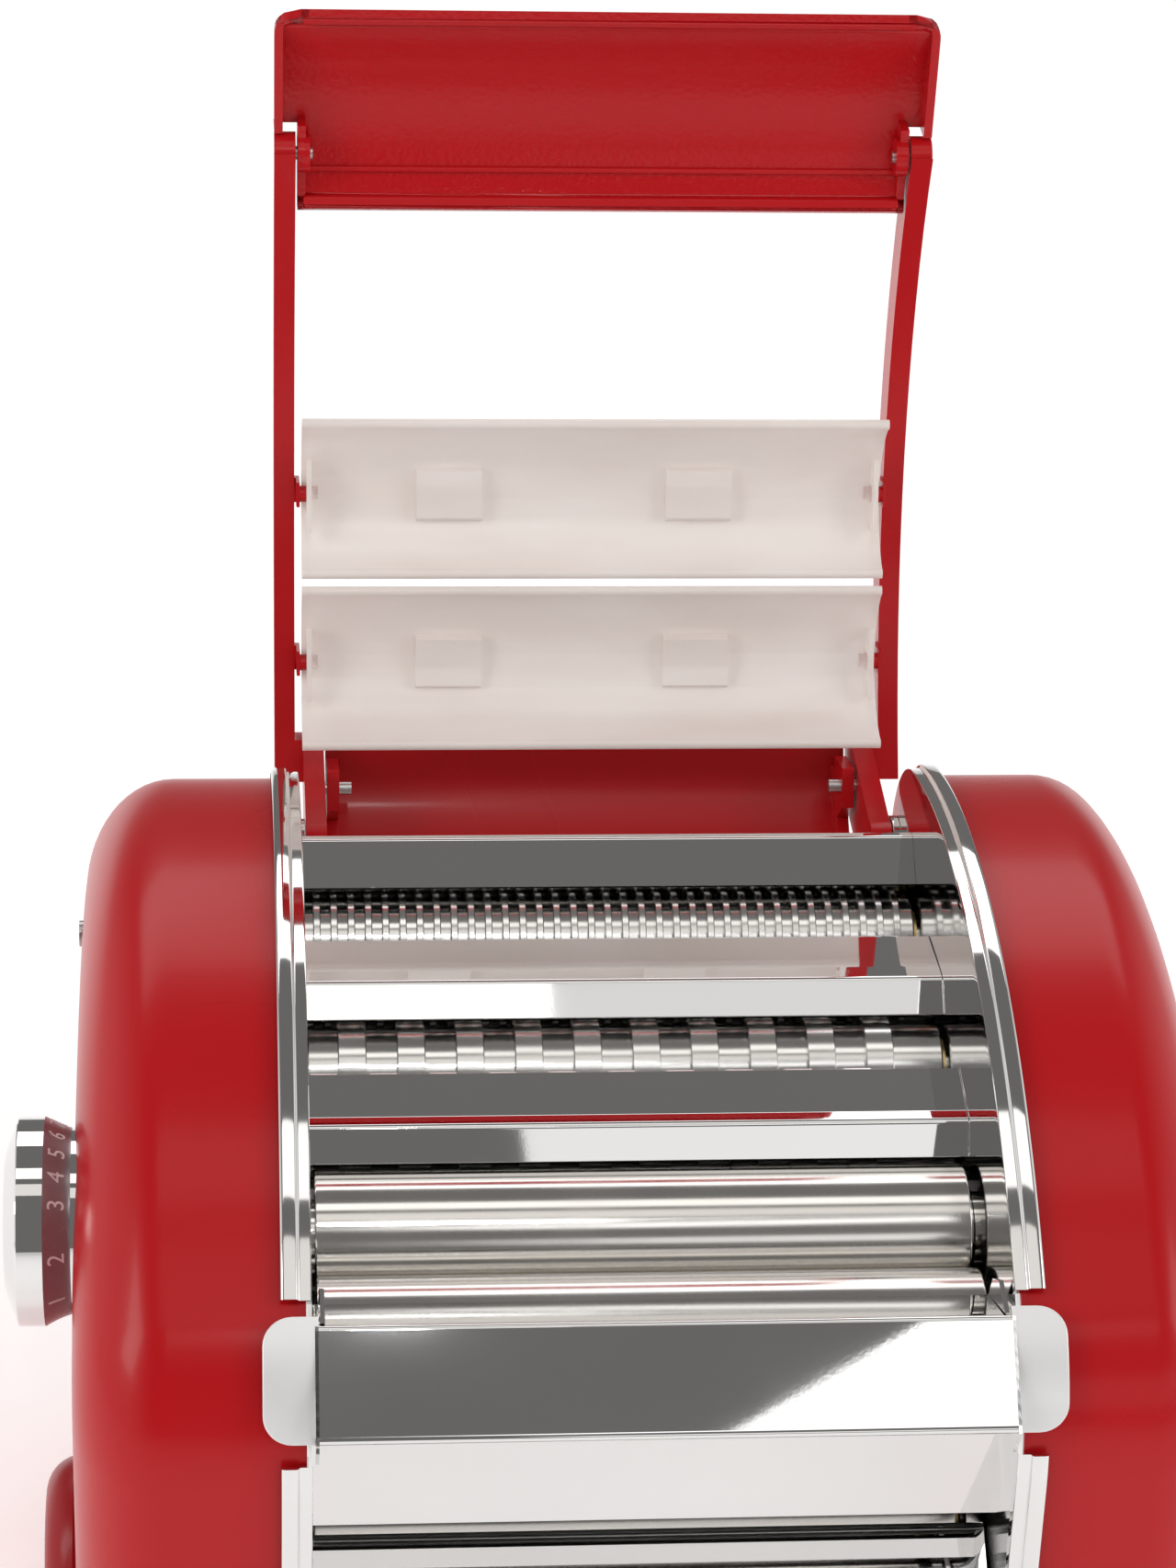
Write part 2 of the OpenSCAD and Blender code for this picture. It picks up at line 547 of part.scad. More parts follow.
module fettuccine_rear_gear() color(steel) place() shaft_gear(-plane_a - gear_w, fe_rear, fe_rear_a);

// ---- gear train ----
stud_r = 3;
module idler(c, n, a) difference() {
  gear(plane_b, gear_w, c, n, gear_m, a);
  bar(plane_b - 1, plane_b + gear_w + 1, c, stud_r + fit);
}
module cutter_idler_gear() color(steel) place() idler(cutter_idler, cutter_idler_n, cutter_idler_a);
module drive_idler_gear() color(steel) place() idler(drive_idler, idler_n, idler_a);
// studs riveted in the bridge, each with a collar behind its gear
module idler_studs() for (c = [cutter_idler, drive_idler]) {
  bar(plane_b - 0.2, bridge_x + bridge_t + 1, c, stud_r, 32);
  bar(plane_b - 1.2, plane_b - 0.2, c, stud_r + 1.5, 32);
}
shaft_r = 4;
module reduction_gear_high() color(steel) place() {
  gear(plane_b, gear_w, high_c, high_n, gear_m, high_a);
  bar(px - plate_t + 0.1, bridge_x + bridge_t - 0.2, high_c, shaft_r);
}
module reduction_gear_low() color(steel) place() {
  gear(plane_a, gear_w, low_c, low_n, low_m, 0);
  gear(plane_b - 3, gear_w + 3, low_c, pinion_n, gear_m, low_pinion_a);
  bar(px - plate_t + 0.1, bridge_x + bridge_t - 0.2, low_c, shaft_r);
}
bridge_posts = [[70, crown_z - 61], [-79, crown_z - 50], [-91, crown_z - 99], [66, 92]];
bridge_shafts = [sm_front, sp_front, fe_front];
bridge_pts = [[78, crown_z - 53], [60, crown_z - 31], [30, crown_z - 25], [-30, crown_z - 33],
  [-70, crown_z - 47], [-88, crown_z - 69], [-94, crown_z - 103], [-84, 56], [-40, 44], [10, 42],
  [30, 52], [74, 88]];
module gear_bridge() color(steel) place() {
  difference() {
    plate2(bridge_x, bridge_x + bridge_t, bridge_pts);
    for (c = bridge_shafts) bar(bridge_x - 1, bridge_x + 4, c, journal_r + fit);
    for (c = [high_c, low_c]) bar(bridge_x - 1, bridge_x + 4, c, shaft_r + fit);
  }
  for (c = bridge_posts) bar(px, bridge_x + 0.1, c, 4, 32);
  idler_studs();
}

// ---- motor ----
motor_r = 34;
motor_x0 = -38;
motor_x1 = hx - 8;
motor_shaft_r = 3;
module motor_body() color(steel) place() difference() {
  union() {
    bar(motor_x0, motor_x1 - 6, motor_c, motor_r, 72);
    bar(motor_x1 - 6, motor_x1, motor_c, motor_r - 6, 72);
    bar(motor_x1, px + 0.5, motor_c, 8.8, 48);
  }
  bar(motor_x0 - 1, px + 2, motor_c, motor_shaft_r + fit, 32);
  for (a = [0 : 45 : 315]) bar(motor_x0 - 1, motor_x0 + 20, polar(motor_c, motor_r - 9, a), 3, 20);
}
module motor_shaft() color(steel) place() {
  bar(motor_x0 - 12, plane_a + gear_w, motor_c, motor_shaft_r, 32);
  gear(plane_a, gear_w, motor_c, pinion_n, low_m, motor_pinion_a);
  bar(motor_x0 - 10, motor_x0 - 7, motor_c, 8, 32);
  for (a = [0 : 60 : 300]) along_x(motor_x0 - 11) translate(motor_c) rotate(a)
    linear_extrude(6) translate([7, -0.8]) square([18, 1.6]);
}
module motor_bracket() color(steel) place() difference() {
  union() {
    translate([motor_x0 + 16, motor_c[0] - 30, deck_z]) cube([62, 60, 2]);
    for (x = [motor_x0 + 16, motor_x0 + 72]) translate([x, motor_c[0] - 30, deck_z + 2])
      cube([6, 60, motor_c[1] - deck_z - 10]);
  }
  bar(motor_x0, motor_x1 + 10, motor_c, motor_r, 72);
}

// ---- electrics ----
inlet_x = px + 26;
inlet_z = 30;
module switch_body() color(black) place() {
  translate([-out_x + housing_wall, knob_c[0] - 13, knob_c[1] - 13]) cube([22, 26, 26]);
  for (k = [-8, 0, 8]) translate([-out_x + housing_wall + 22, knob_c[0] + k - 1, knob_c[1] - 3])
    cube([7, 2, 6]);
}
module switch_knob() color(red) place() translate([-out_x - gap, knob_c[0], knob_c[1]]) rotate([0, -90, 0]) {
  rotate_extrude($fn = 96) polygon(concat([[0, 0], [knob_r, 0]],
    arc([knob_r - knob_h + 1, 0], knob_h - gap, 12, 90, 8), [[0, knob_h - gap]]));
  translate([0, 0, -housing_wall + 0.4]) cylinder(r = 6, h = housing_wall, $fn = 32);
}
module cord_inlet() color(black) place() difference() {
  union() {
    translate([inlet_x - 14.5, rear_y - 1.4, inlet_z - 11.5]) cube([29, 1.4, 23]);
    translate([inlet_x - 11.6, rear_y - 22, inlet_z - 8.6]) cube([23.2, 20.7, 17.2]);
  }
  translate([inlet_x - 8.5, rear_y - 18, inlet_z - 6]) cube([17, 20, 12]);
}

// ---- lid, drawn closed and turned back about its hinge ----
arm_x1 = rim_x - 1.5;
arm_x0 = arm_x1 - arm_w;
root_x1 = hx - 2;
root_x0 = root_x1 - arm_w;
arm_o0 = arm_gap;
arm_o1 = arm_gap + arm_depth;
root_y = 74;
module lid_place() translate([0, hinge[0], hinge[1]]) rotate([-lid_open, 0, 0])
  translate([0, -hinge[0], -hinge[1]]) children();
function top_a(y, off) = acos((y - crown_y) / (crown_r + off));
function band(y0, y1, o0, o1, n) = concat(
  [for (p = arc(top_c, crown_r + o1, top_a(y0, o1), top_a(y1, o1), n)) p],
  back(arc(top_c, crown_r + o0, top_a(y0, o0), top_a(y1, o0), n)));
rear_pin = [80, crown_z - 12];
pin_r = 1.6;
module lid_arms() color(red) place() lid_place() both_sides() difference() {
  union() {
    plate2(arm_x0, arm_x1, band(root_y + 6, pivot_y, arm_o0, arm_o1, 16));
    bar(arm_x0, arm_x1, pivot, arm_depth / 2, 32);
    plate2(root_x0, arm_x1, band(root_y + 6, root_y - 4, arm_o0, arm_o1, 2));
    plate2(root_x0, root_x1, [hinge + [-9, 0], hinge + [9, 0], [root_y + 16, top_z(root_y + 6, arm_o1) - 10],
      [root_y + 6, top_z(root_y + 6, arm_o1)], [root_y - 4, top_z(root_y - 4, arm_o1)],
      [root_y - 4, top_z(root_y - 4, arm_o0)]]);
    bar(root_x0, root_x1, hinge, 9, 48);
    for (y = cover_y) {
      bar(cover_w / 2 - 1.6, hx - 0.4, [y, cover_peg_z(y)], 2, 20);
      plate2(hx - 1.2, hx - 0.4, [[y - 3, cover_peg_z(y) - 2], [y + 3, cover_peg_z(y) - 2],
        [y + 3, top_z(y, arm_o0 + 4)], [y - 3, top_z(y, arm_o0 + 4)]]);
      plate2(hx - 1.2, arm_x0 + 0.1, [[y - 3, top_z(y, arm_o0)], [y + 3, top_z(y, arm_o0)],
        [y + 3, top_z(y, arm_o0 + 4)], [y - 3, top_z(y, arm_o0 + 4)]]);
    }
  }
  bar(root_x0 - 1, root_x1 + 1, hinge, 3 + fit, 32);
  bar(root_x0 - 1, root_x1 - 1.5, rear_pin, pin_r, 24);
  bar(arm_x0 - 1, arm_x1 - 1.5, pivot, pin_r, 24);
}
module lid_pins() color(steel) place() lid_place() both_sides() {
  bar(hx - 4, arm_x1 - 1.5, pivot, pin_r, 24);
  bar(rear_panel_x - 6, root_x1 - 1.5, rear_pin, pin_r, 24);
}
module lid_pivot_pins() color(steel) place() both_sides() {
  bar(root_x0 - 1.5, px + 4, hinge, 3, 32);
  bar(root_x0 - 3, root_x0 - 1.2, hinge, 4.6, 32);
  bar(px, px + 2.4, hinge, 4.6, 6);
}
module lid_washers() color(chrome) place() both_sides() difference() {
  bar(root_x1 + 0.2, hx, hinge, 9.6, 48);
  bar(root_x1 - 1, hx + 1, hinge, 3 + fit, 32);
}
stop_c = hinge + [6.5, -11.7];
module lid_stops() color(black) place() both_sides() bar(root_x0 + 0.5, hx, stop_c, 3, 24);

// rear panel of the lid: a skin that closes the lid behind the covers
rear_panel_x = root_x0 - 0.6;
rear_skin = 2.4;
module lid_rear_panel() color(red) place() lid_place() difference() {
  union() {
    plate2(-rear_panel_x, rear_panel_x, concat(arc(rear_c, rear_corner_r + arm_o1, 34, rear_a, 8),
      [polar(top_c, crown_r + arm_o1, top_a(67, arm_o1))],
      [polar(top_c, crown_r + arm_o1 - rear_skin, top_a(67, arm_o1 - rear_skin))],
      back(arc(rear_c, rear_corner_r + arm_o1 - rear_skin, 34, rear_a, 8))));
    both_sides() plate2(rear_panel_x - 3, rear_panel_x,
      concat(arc(rear_c, rear_corner_r + arm_o1 - 0.5, 36, 80, 8), back(arc(rear_c, rear_corner_r + 4, 36, 80, 8))));
    both_sides() plate2(rear_panel_x - 3, rear_panel_x, [rear_pin + [-5, -3], rear_pin + [5, -3],
      polar(rear_c, rear_corner_r + 6, 60), polar(rear_c, rear_corner_r + 6, 84)]);
    plate2(-rear_panel_x + 0.1, rear_panel_x - 0.1,
      concat(arc(rear_c, rear_corner_r + arm_o1 - rear_skin + 0.1, 35, 42, 2),
        back(arc(rear_c, rear_corner_r + arm_o1 - rear_skin - 1.5, 35, 42, 2))));
  }
  both_sides() bar(rear_panel_x - 4, rear_panel_x + 1, rear_pin, pin_r, 24);
}

// clear covers: an arch over each cutter
cover_w = inner_w - 3.2;
cover_y = [8.3, 49.9];
cover_half = 19.4;
cover_lip = 11.2;
cover_peak = 0.5;
function cover_peg_z(y) = top_z(y, cover_peak - 4.5);
function cover_arch(y, o, n) = let (a = [y - cover_half, top_z(y - cover_half, -cover_lip)],
  b = [y + cover_half, top_z(y + cover_half, -cover_lip)], m = (a + b) / 2, h = norm(b - a) / 2,
  u = (b - a) / (2 * h), v = [-u[1], u[0]], s = cover_lip + cover_peak, r = (h * h + s * s) / (2 * s),
  w = asin(h / r)) [for (i = [0 : n]) let (q = -w + 2 * w * i / n)
    m + u * (r + o) * sin(q) + v * ((r + o) * cos(q) - r + s)];
module cover(y) difference() {
  union() {
    plate2(-cover_w / 2, cover_w / 2, concat(cover_arch(y, 0, 16), back(cover_arch(y, -cover_t, 16))));
    for (k = [0, 16]) let (p = cover_arch(y, -cover_t / 2, 16)[k])
      bar(-cover_w / 2, cover_w / 2, p, 1.2, 16);
    both_sides() plate2(cover_w / 2 - 2.4, cover_w / 2 - 1.2, [[y - 9, cover_peg_z(y) - 5],
      [y + 9, cover_peg_z(y) - 5], [y + 8, top_z(y + 8, cover_peak - 3)], [y - 8, top_z(y - 8, cover_peak - 3)]]);
    for (x = [-35, 26]) plate2(x - 8, x + 8, concat(arc([y, cover_peg_z(y) - 34], 33, 80, 100, 6),
      back(arc([y, cover_peg_z(y) - 34], 35.4, 79, 101, 6))));
  }
  both_sides() bar(cover_w / 2 - 4, cover_w / 2 + 1, [y, cover_peg_z(y)], 2.2, 20);
}
module front_cover() color(milky) place() lid_place() cover(cover_y[0]);
module rear_cover() color(milky) place() lid_place() cover(cover_y[1]);

// feed flap: a scoop hinged between the ends of the arms
flap_tip = [-108.7, crown_z - 38.6];
flap_heel = [pivot_y + 13.6, top_z(pivot_y + 13.6, 3.7)];
flap_t = 2.2;
flap_bulge = 8;
flap_side_x = hx - 0.4;
function flap_arc(o, n) = let (a = flap_heel, b = flap_tip, m = (a + b) / 2, h = norm(b - a) / 2,
  u = (b - a) / (2 * h), v = [u[1], -u[0]], s = flap_bulge, r = (h * h + s * s) / (2 * s), w = asin(h / r))
  [for (i = [0 : n]) let (q = -w + 2 * w * i / n) m + u * (r + o) * sin(q) + v * ((r + o) * cos(q) - r + s)];
module feed_flap() color(red) place() lid_place() difference() {
  union() {
    plate2(-flap_side_x, flap_side_x, concat(flap_arc(0, 18), back(flap_arc(-flap_t, 18))));
    both_sides() plate2(flap_side_x - 3, flap_side_x, concat(flap_arc(-0.5, 18), [flap_heel + [-8, -3]]));
    both_sides() bar(flap_side_x - 3, flap_side_x, pivot, 4.5, 32);
    both_sides() difference() {
      plate2(flap_side_x - 0.01, arm_x1, flap_arc(0, 18));
      bar(flap_side_x - 1, arm_x1 + 1, pivot, arm_depth / 2 + 0.6, 32);
      plate2(flap_side_x - 1, arm_x1 + 1, [pivot, polar(pivot, 60, 150), polar(pivot, 60, 60),
        polar(pivot, 60, -30), polar(pivot, 60, -120)]);
    }
    for (p = [flap_arc(-flap_t - 1, 18)[1], flap_arc(-flap_t - 1, 18)[17]])
      bar(-flap_side_x + 1, flap_side_x - 1, p, 1.4, 12);
  }
  both_sides() bar(flap_side_x - 5, flap_side_x + 0.2, pivot, pin_r + fit, 24);
}

// ---- dough tray: hooks over the front corner of the side plates ----
tray_ridge = polar(front_c, front_corner_r + 1.6, 133.4);
tray_foot = polar(front_c, front_corner_r + 6.6, 161.5);
tray_back = [-73, crown_z - 53];
tray_t = 1.2;
tray_x = hx - 0.5;
tab_x = hx + 10.2;
module dough_tray() color(chrome) place() {
  plate2(-tray_x, tray_x,
    strip([tray_back, tray_ridge + [1.2, 0], tray_ridge, tray_foot, tray_foot + [5, -3]], tray_t));
  both_sides() {
    difference() {
      plate2(hx - 1.2, tab_x, concat(arc(front_c, front_corner_r + 1.5, notch_a0 + 1, notch_a1 - 1, 10),
        back(arc(front_c, front_corner_r + 0.3, notch_a0 + 1, notch_a1 - 1, 10))));
      for (a = [notch_a0, notch_a1]) along_x(tab_x - 3) translate(polar(front_c, front_corner_r, a)) rotate(a)
        linear_extrude(9) square([9, 3], center = true);
    }
    plate2(hx - 1.2, tray_x, concat([tray_ridge], arc(front_c, front_corner_r + 0.3, 134, notch_a1 - 1, 10),
      [tray_foot]));
    plate2(hx - 2.6, hx - 1.6, [tray_ridge + [1, 0], tray_back, tray_back + [-3, 6], tray_ridge + [10, 2]]);
  }
}

// ---- outline: outermost points left, right, front and rear ----
lid_top_c = hinge + turn(top_c - hinge, -lid_open);
shift_x = (dial_h - 0.9) / 2;
shift_y = -(lid_top_c[0] + crown_r + arm_o1 + tray_foot[0] - tray_t) / 2;

base_plate();
rubber_feet();
left_housing();
right_housing();
screws();
left_side_plate();
right_side_plate();
front_panel();
rear_panel();
outlet_plate();
chute();
rear_guide_sheet();
middle_guide_sheet();
front_guide_sheet();
tie_rods();
roller_bushes();
cutter_combs();
roller_scrapers();
block_guides();
dial_bracket();
gear_bridge();
motor_body();
motor_bracket();
switch_body();
cord_inlet();
detent_plunger();
lid_pivot_pins();
lid_washers();
lid_stops();
dough_tray();
thickness_dial();
dial_shaft();
left_bearing_block();
right_bearing_block();
block_link();
rear_smooth_roller();
rear_roller_gear();
front_smooth_roller();
front_roller_gears();
spaghetti_roller_front();
spaghetti_front_gears();
spaghetti_roller_rear();
spaghetti_rear_gear();
fettuccine_roller_front();
fettuccine_front_gears();
fettuccine_roller_rear();
fettuccine_rear_gear();
cutter_idler_gear();
drive_idler_gear();
reduction_gear_low();
reduction_gear_high();
motor_shaft();
switch_knob();
lid_arms();
lid_rear_panel();
lid_pins();
front_cover();
rear_cover();
feed_flap();
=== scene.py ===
# The looks of the pasta roller machine, around its CAD nodes and in their frame. Lengths are
# millimetres of the machine, as in the CAD source, and row() turns them into metres of the frame.
import math
import bmesh
import bpy
from mathutils import Matrix, Vector
from mathutils.geometry import tessellate_polygon


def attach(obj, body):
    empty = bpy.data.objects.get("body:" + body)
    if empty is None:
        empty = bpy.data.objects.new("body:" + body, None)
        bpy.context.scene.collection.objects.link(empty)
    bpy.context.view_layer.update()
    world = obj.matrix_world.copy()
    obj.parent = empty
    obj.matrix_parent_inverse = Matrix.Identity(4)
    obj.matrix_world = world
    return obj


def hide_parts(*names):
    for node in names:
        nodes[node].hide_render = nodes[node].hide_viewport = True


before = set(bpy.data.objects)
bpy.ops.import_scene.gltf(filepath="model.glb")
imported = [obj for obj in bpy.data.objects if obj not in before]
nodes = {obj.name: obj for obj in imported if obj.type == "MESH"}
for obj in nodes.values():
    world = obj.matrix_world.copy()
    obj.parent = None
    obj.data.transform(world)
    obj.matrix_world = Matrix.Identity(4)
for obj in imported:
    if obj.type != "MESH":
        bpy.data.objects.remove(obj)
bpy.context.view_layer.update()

# ---- main sizes, as in the CAD source ----
HX, PX, RIM_X = 72.5, 73.7, 79.0  # a side plate's inner face, outer face and the edge of its rim
WALL, EDGE_X, EDGE_N = 2.6, 20.3, 26.2  # a housing's wall, and its shoulder's width and depth
OUT_X = PX + 0.3 + 48.1  # flat side of a housing
FRONT_Y, REAR_Y, CROWN_Z, CROWN_R, CROWN_Y = 105.0, 103.0, 199.0, 180.0, 30.0
FRONT_R, REAR_R = 45.0, 32.0
BASE_Z, DECK_Z = 5.5, 8.5  # underside and top of the base plate
HOUSING_OFF = -1.6  # a housing's side outline against the side plates'
DIAL_R, DIAL_H, NECK_R = 22.5, 15.2, 20.0
KNOB_C = (-30.0, 49.0)
SCREW_HEAD = 0.9  # height of the screw heads on the right housing
LID_OPEN = 105.0
ARM_GAP, ARM_DEPTH = 2.5, 10.0  # a closed lid arm over the top curve
SHEET, TRAY_T = 1.0, 1.2


def polar(c, r, a):
    return (c[0] + r * math.cos(math.radians(a)), c[1] + r * math.sin(math.radians(a)))


def turned(p, a):
    c, s = math.cos(math.radians(a)), math.sin(math.radians(a))
    return (p[0] * c - p[1] * s, p[0] * s + p[1] * c)


def angle_of(a, b):
    return math.degrees(math.atan2(b[1] - a[1], b[0] - a[0]))


def arc(c, r, a0, a1, n):
    return [polar(c, r, a0 + (a1 - a0) * i / n) for i in range(n + 1)]


# places in the side view, (y, z)
TOP_C = (CROWN_Y, CROWN_Z - CROWN_R)
FRONT_C = (FRONT_R - FRONT_Y, TOP_C[1] + math.sqrt((CROWN_R - FRONT_R) ** 2
                                                   - (CROWN_Y - FRONT_R + FRONT_Y) ** 2))
REAR_C = (REAR_Y - REAR_R, TOP_C[1] + math.sqrt((CROWN_R - REAR_R) ** 2
                                                - (REAR_Y - REAR_R - CROWN_Y) ** 2))
FRONT_A = angle_of(TOP_C, FRONT_C)
REAR_A = angle_of(TOP_C, REAR_C)
HINGE = (REAR_Y - 11, CROWN_Z - 36)
SM_REAR = (-33.5, CROWN_Z - 62)
DIAL_C = (SM_REAR[0], SM_REAR[1] + 5)
FEED_A = 17  # slope of the line from the front to the rear smooth roller
SM_FRONT = polar(SM_REAR, -29.6, FEED_A)
SPAGHETTI = [(40.35, CROWN_Z - 43.5), (62.85, CROWN_Z - 43.5)]
FETTUCCINE = [(-8.25, CROWN_Z - 50), (14.25, CROWN_Z - 50)]
TRAY_BACK = (-73, CROWN_Z - 53)
TRAY_RIDGE = polar(FRONT_C, FRONT_R + 1.6, 133.4)
TRAY_FOOT = polar(FRONT_C, FRONT_R + 6.6, 161.5)
TRAY_LIP = (TRAY_FOOT[0] + 5, TRAY_FOOT[1] - 3)

# how far the machine moves to put the whole object's box round the frame's origin
LID_TOP = turned((TOP_C[0] - HINGE[0], TOP_C[1] - HINGE[1]), -LID_OPEN)
SHIFT_X = (DIAL_H - SCREW_HEAD) / 2
SHIFT_Y = -(HINGE[0] + LID_TOP[0] + CROWN_R + (ARM_GAP + ARM_DEPTH) + TRAY_FOOT[0] - TRAY_T) / 2


def row(x, y, z):
    """A place in the machine, in millimetres, as metres of the shared frame."""
    return Vector((x + SHIFT_X, y + SHIFT_Y, z)) / 1000


def opened(p):
    """A point of the closed lid's side view, where the open lid carries it."""
    q = turned((p[0] - HINGE[0], p[1] - HINGE[1]), -LID_OPEN)
    return (HINGE[0] + q[0], HINGE[1] + q[1])


def profile(off):
    """Side outline grown by off, from its rear foot over the top to its front foot."""
    return ([(REAR_Y + off, BASE_Z)] + arc(REAR_C, REAR_R + off, 0, REAR_A, 14)
            + arc(TOP_C, CROWN_R + off, REAR_A, FRONT_A, 56)[1:-1]
            + arc(FRONT_C, FRONT_R + off, FRONT_A, 180, 20) + [(-FRONT_Y - off, BASE_Z)])


# ---- materials ----
def shader(m):
    return m.node_tree.nodes["Principled BSDF"]


def material(name, colour, rough=0.4, metal=0.0, **sockets):
    """A Principled material; the other sockets are named with underscores."""
    m = bpy.data.materials.new(name)
    m.use_nodes = True
    b = shader(m)
    b.inputs["Base Color"].default_value = (*colour, 1)
    b.inputs["Roughness"].default_value = rough
    b.inputs["Metallic"].default_value = metal
    for key, value in sockets.items():
        b.inputs[key.replace("_", " ")].default_value = value
    return m


def noise(m, scale, detail=3.0, stretch=(1, 1, 1)):
    """A noise texture in the object's own coordinates; its scale is per metre."""
    t = m.node_tree
    place = t.nodes.new("ShaderNodeTexCoord")
    mapping = t.nodes.new("ShaderNodeMapping")
    mapping.inputs["Scale"].default_value = stretch
    tex = t.nodes.new("ShaderNodeTexNoise")
    tex.inputs["Scale"].default_value = scale
    tex.inputs["Detail"].default_value = detail
    t.links.new(place.outputs["Object"], mapping.inputs["Vector"])
    t.links.new(mapping.outputs["Vector"], tex.inputs["Vector"])
    return tex.outputs["Fac"]


def spread(m, fac, low, high, at=(0.3, 0.7)):
    """Maps the part of a factor between the two values of at to a range of numbers."""
    n = m.node_tree.nodes.new("ShaderNodeMapRange")
    n.inputs["From Min"].default_value = at[0]
    n.inputs["From Max"].default_value = at[1]
    n.inputs["To Min"].default_value = low
    n.inputs["To Max"].default_value = high
    m.node_tree.links.new(fac, n.inputs["Value"])
    return n.outputs["Result"]


def tint(m, fac, dark, light):
    """Base colour that varies between two tones."""
    n = m.node_tree.nodes.new("ShaderNodeMix")
    n.data_type = "RGBA"
    n.inputs[6].default_value = (*dark, 1)
    n.inputs[7].default_value = (*light, 1)
    m.node_tree.links.new(fac, n.inputs[0])
    m.node_tree.links.new(n.outputs[2], shader(m).inputs["Base Color"])


def roughen(m, fac):
    m.node_tree.links.new(fac, shader(m).inputs["Roughness"])


def bump(m, fac, height, strength=1.0):
    """Bump of the given height in metres."""
    n = m.node_tree.nodes.new("ShaderNodeBump")
    n.inputs["Strength"].default_value = strength
    n.inputs["Distance"].default_value = height
    m.node_tree.links.new(fac, n.inputs["Height"])
    m.node_tree.links.new(n.outputs["Normal"], shader(m).inputs["Normal"])


def enamel(name, colour, rough, peel, grain=420):
    """Sprayed enamel: an orange-peel skin, peel metres high, under a soft gloss."""
    m = material(name, colour, rough, Coat_Weight=0.1, Coat_Roughness=0.12,
                 Specular_IOR_Level=0.22)
    dark = tuple(c * 0.97 for c in colour)
    tint(m, spread(m, noise(m, 5, 0), 0, 1, (0, 1)), dark, colour)
    roughen(m, spread(m, noise(m, 25, 0), rough - 0.012, rough + 0.012, (0, 1)))
    bump(m, noise(m, grain, 1), peel, 0.5)
    return m


def polished(name, colour, rough, scratch, stretch=(1, 1, 1)):
    """Polished metal with fine straight grain, scratch metres deep, and faint stains."""
    m = material(name, colour, rough, 1.0)
    dark = tuple(c * 0.95 for c in colour)
    tint(m, spread(m, noise(m, 14, 4), 0, 1, (0.2, 0.8)), dark, colour)
    roughen(m, spread(m, noise(m, 30, 5), rough, rough * 1.7, (0.25, 0.75)))
    bump(m, noise(m, 900, 4, stretch), scratch, 0.35)
    return m


RED = (0.5, 0.006, 0.0095)
red = enamel("red_enamel", RED, rough=0.28, peel=0.00002)
hammered = enamel("red_enamel_hammered", RED, rough=0.24, peel=0.0003, grain=800)
red_plastic = enamel("red_plastic", (0.34, 0.008, 0.013), rough=0.34, peel=0.00001)
chrome = polished("chrome", (0.8, 0.795, 0.79), 0.022, 0.000002)
plate_chrome = polished("chrome_plate", (0.78, 0.775, 0.77), 0.04, 0.0000015)
roller_chrome = polished("chrome_roller", (0.8, 0.78, 0.75), 0.11, 0.000006, (30, 1, 1))
# the tabs' steel is near white and half matte: painted sheen that stands in for the bright
# reflection on them; the fine grain along them is real brushing
grain_and_painted_sheen = polished("chrome_brushed", (0.95, 0.95, 0.95), 0.3, 0.00003, (1, 14, 14))
shader(grain_and_painted_sheen).inputs["Metallic"].default_value = 0.45
steel = polished("steel", (0.56, 0.555, 0.55), 0.24, 0.00001, (25, 1, 1))
disc_steel = polished("steel_discs", (0.78, 0.77, 0.75), 0.14, 0.000008, (40, 1, 1))
brass = polished("brass", (0.78, 0.58, 0.27), 0.28, 0.00001, (20, 1, 1))
rubber = material("rubber", (0.03, 0.03, 0.03), 0.75)
roughen(rubber, spread(rubber, noise(rubber, 120), 0.65, 0.85))
bump(rubber, noise(rubber, 900), 0.00003, 0.4)
black = material("black_plastic", (0.025, 0.025, 0.027), 0.5)
roughen(black, spread(black, noise(black, 200), 0.42, 0.6))
bump(black, noise(black, 1500), 0.00002, 0.4)
# the covers glow faintly through their emission: painted light that brightens them, though no lamp
# is in them
milky = material("clear_cover", (0.95, 0.9, 0.87), 0.32, Transmission_Weight=0.25, IOR=1.45,
                 Coat_Weight=0.3, Coat_Roughness=0.25, Emission_Color=(1, 0.93, 0.89, 1),
                 Emission_Strength=0.05)
tint(milky, spread(milky, noise(milky, 22, 3, (1, 3, 3)), 0, 1), (0.9, 0.83, 0.79),
     (0.96, 0.905, 0.875))
bump(milky, noise(milky, 160, 3, (0.4, 1, 1)), 0.00006, 0.35)
engraved = material("chrome_numbers", (0.8, 0.74, 0.74), 0.4, 0.3)
roughen(engraved, spread(engraved, noise(engraved, 300, 1), 0.35, 0.5))
neck_band = material("chrome_neck", (0.3, 0.255, 0.27), 0.24, 0.6)
roughen(neck_band, spread(neck_band, noise(neck_band, 90, 2), 0.2, 0.3))


# ---- edges and shading ----
def broken_edges(o, width):
    """Small bevels, width millimetres wide, on an object's sharp edges."""
    cut = o.modifiers.new("edges", "BEVEL")
    cut.width = width / 1000
    cut.segments = 2
    cut.limit_method = "ANGLE"
    cut.angle_limit = math.radians(35)
    cut.harden_normals = True


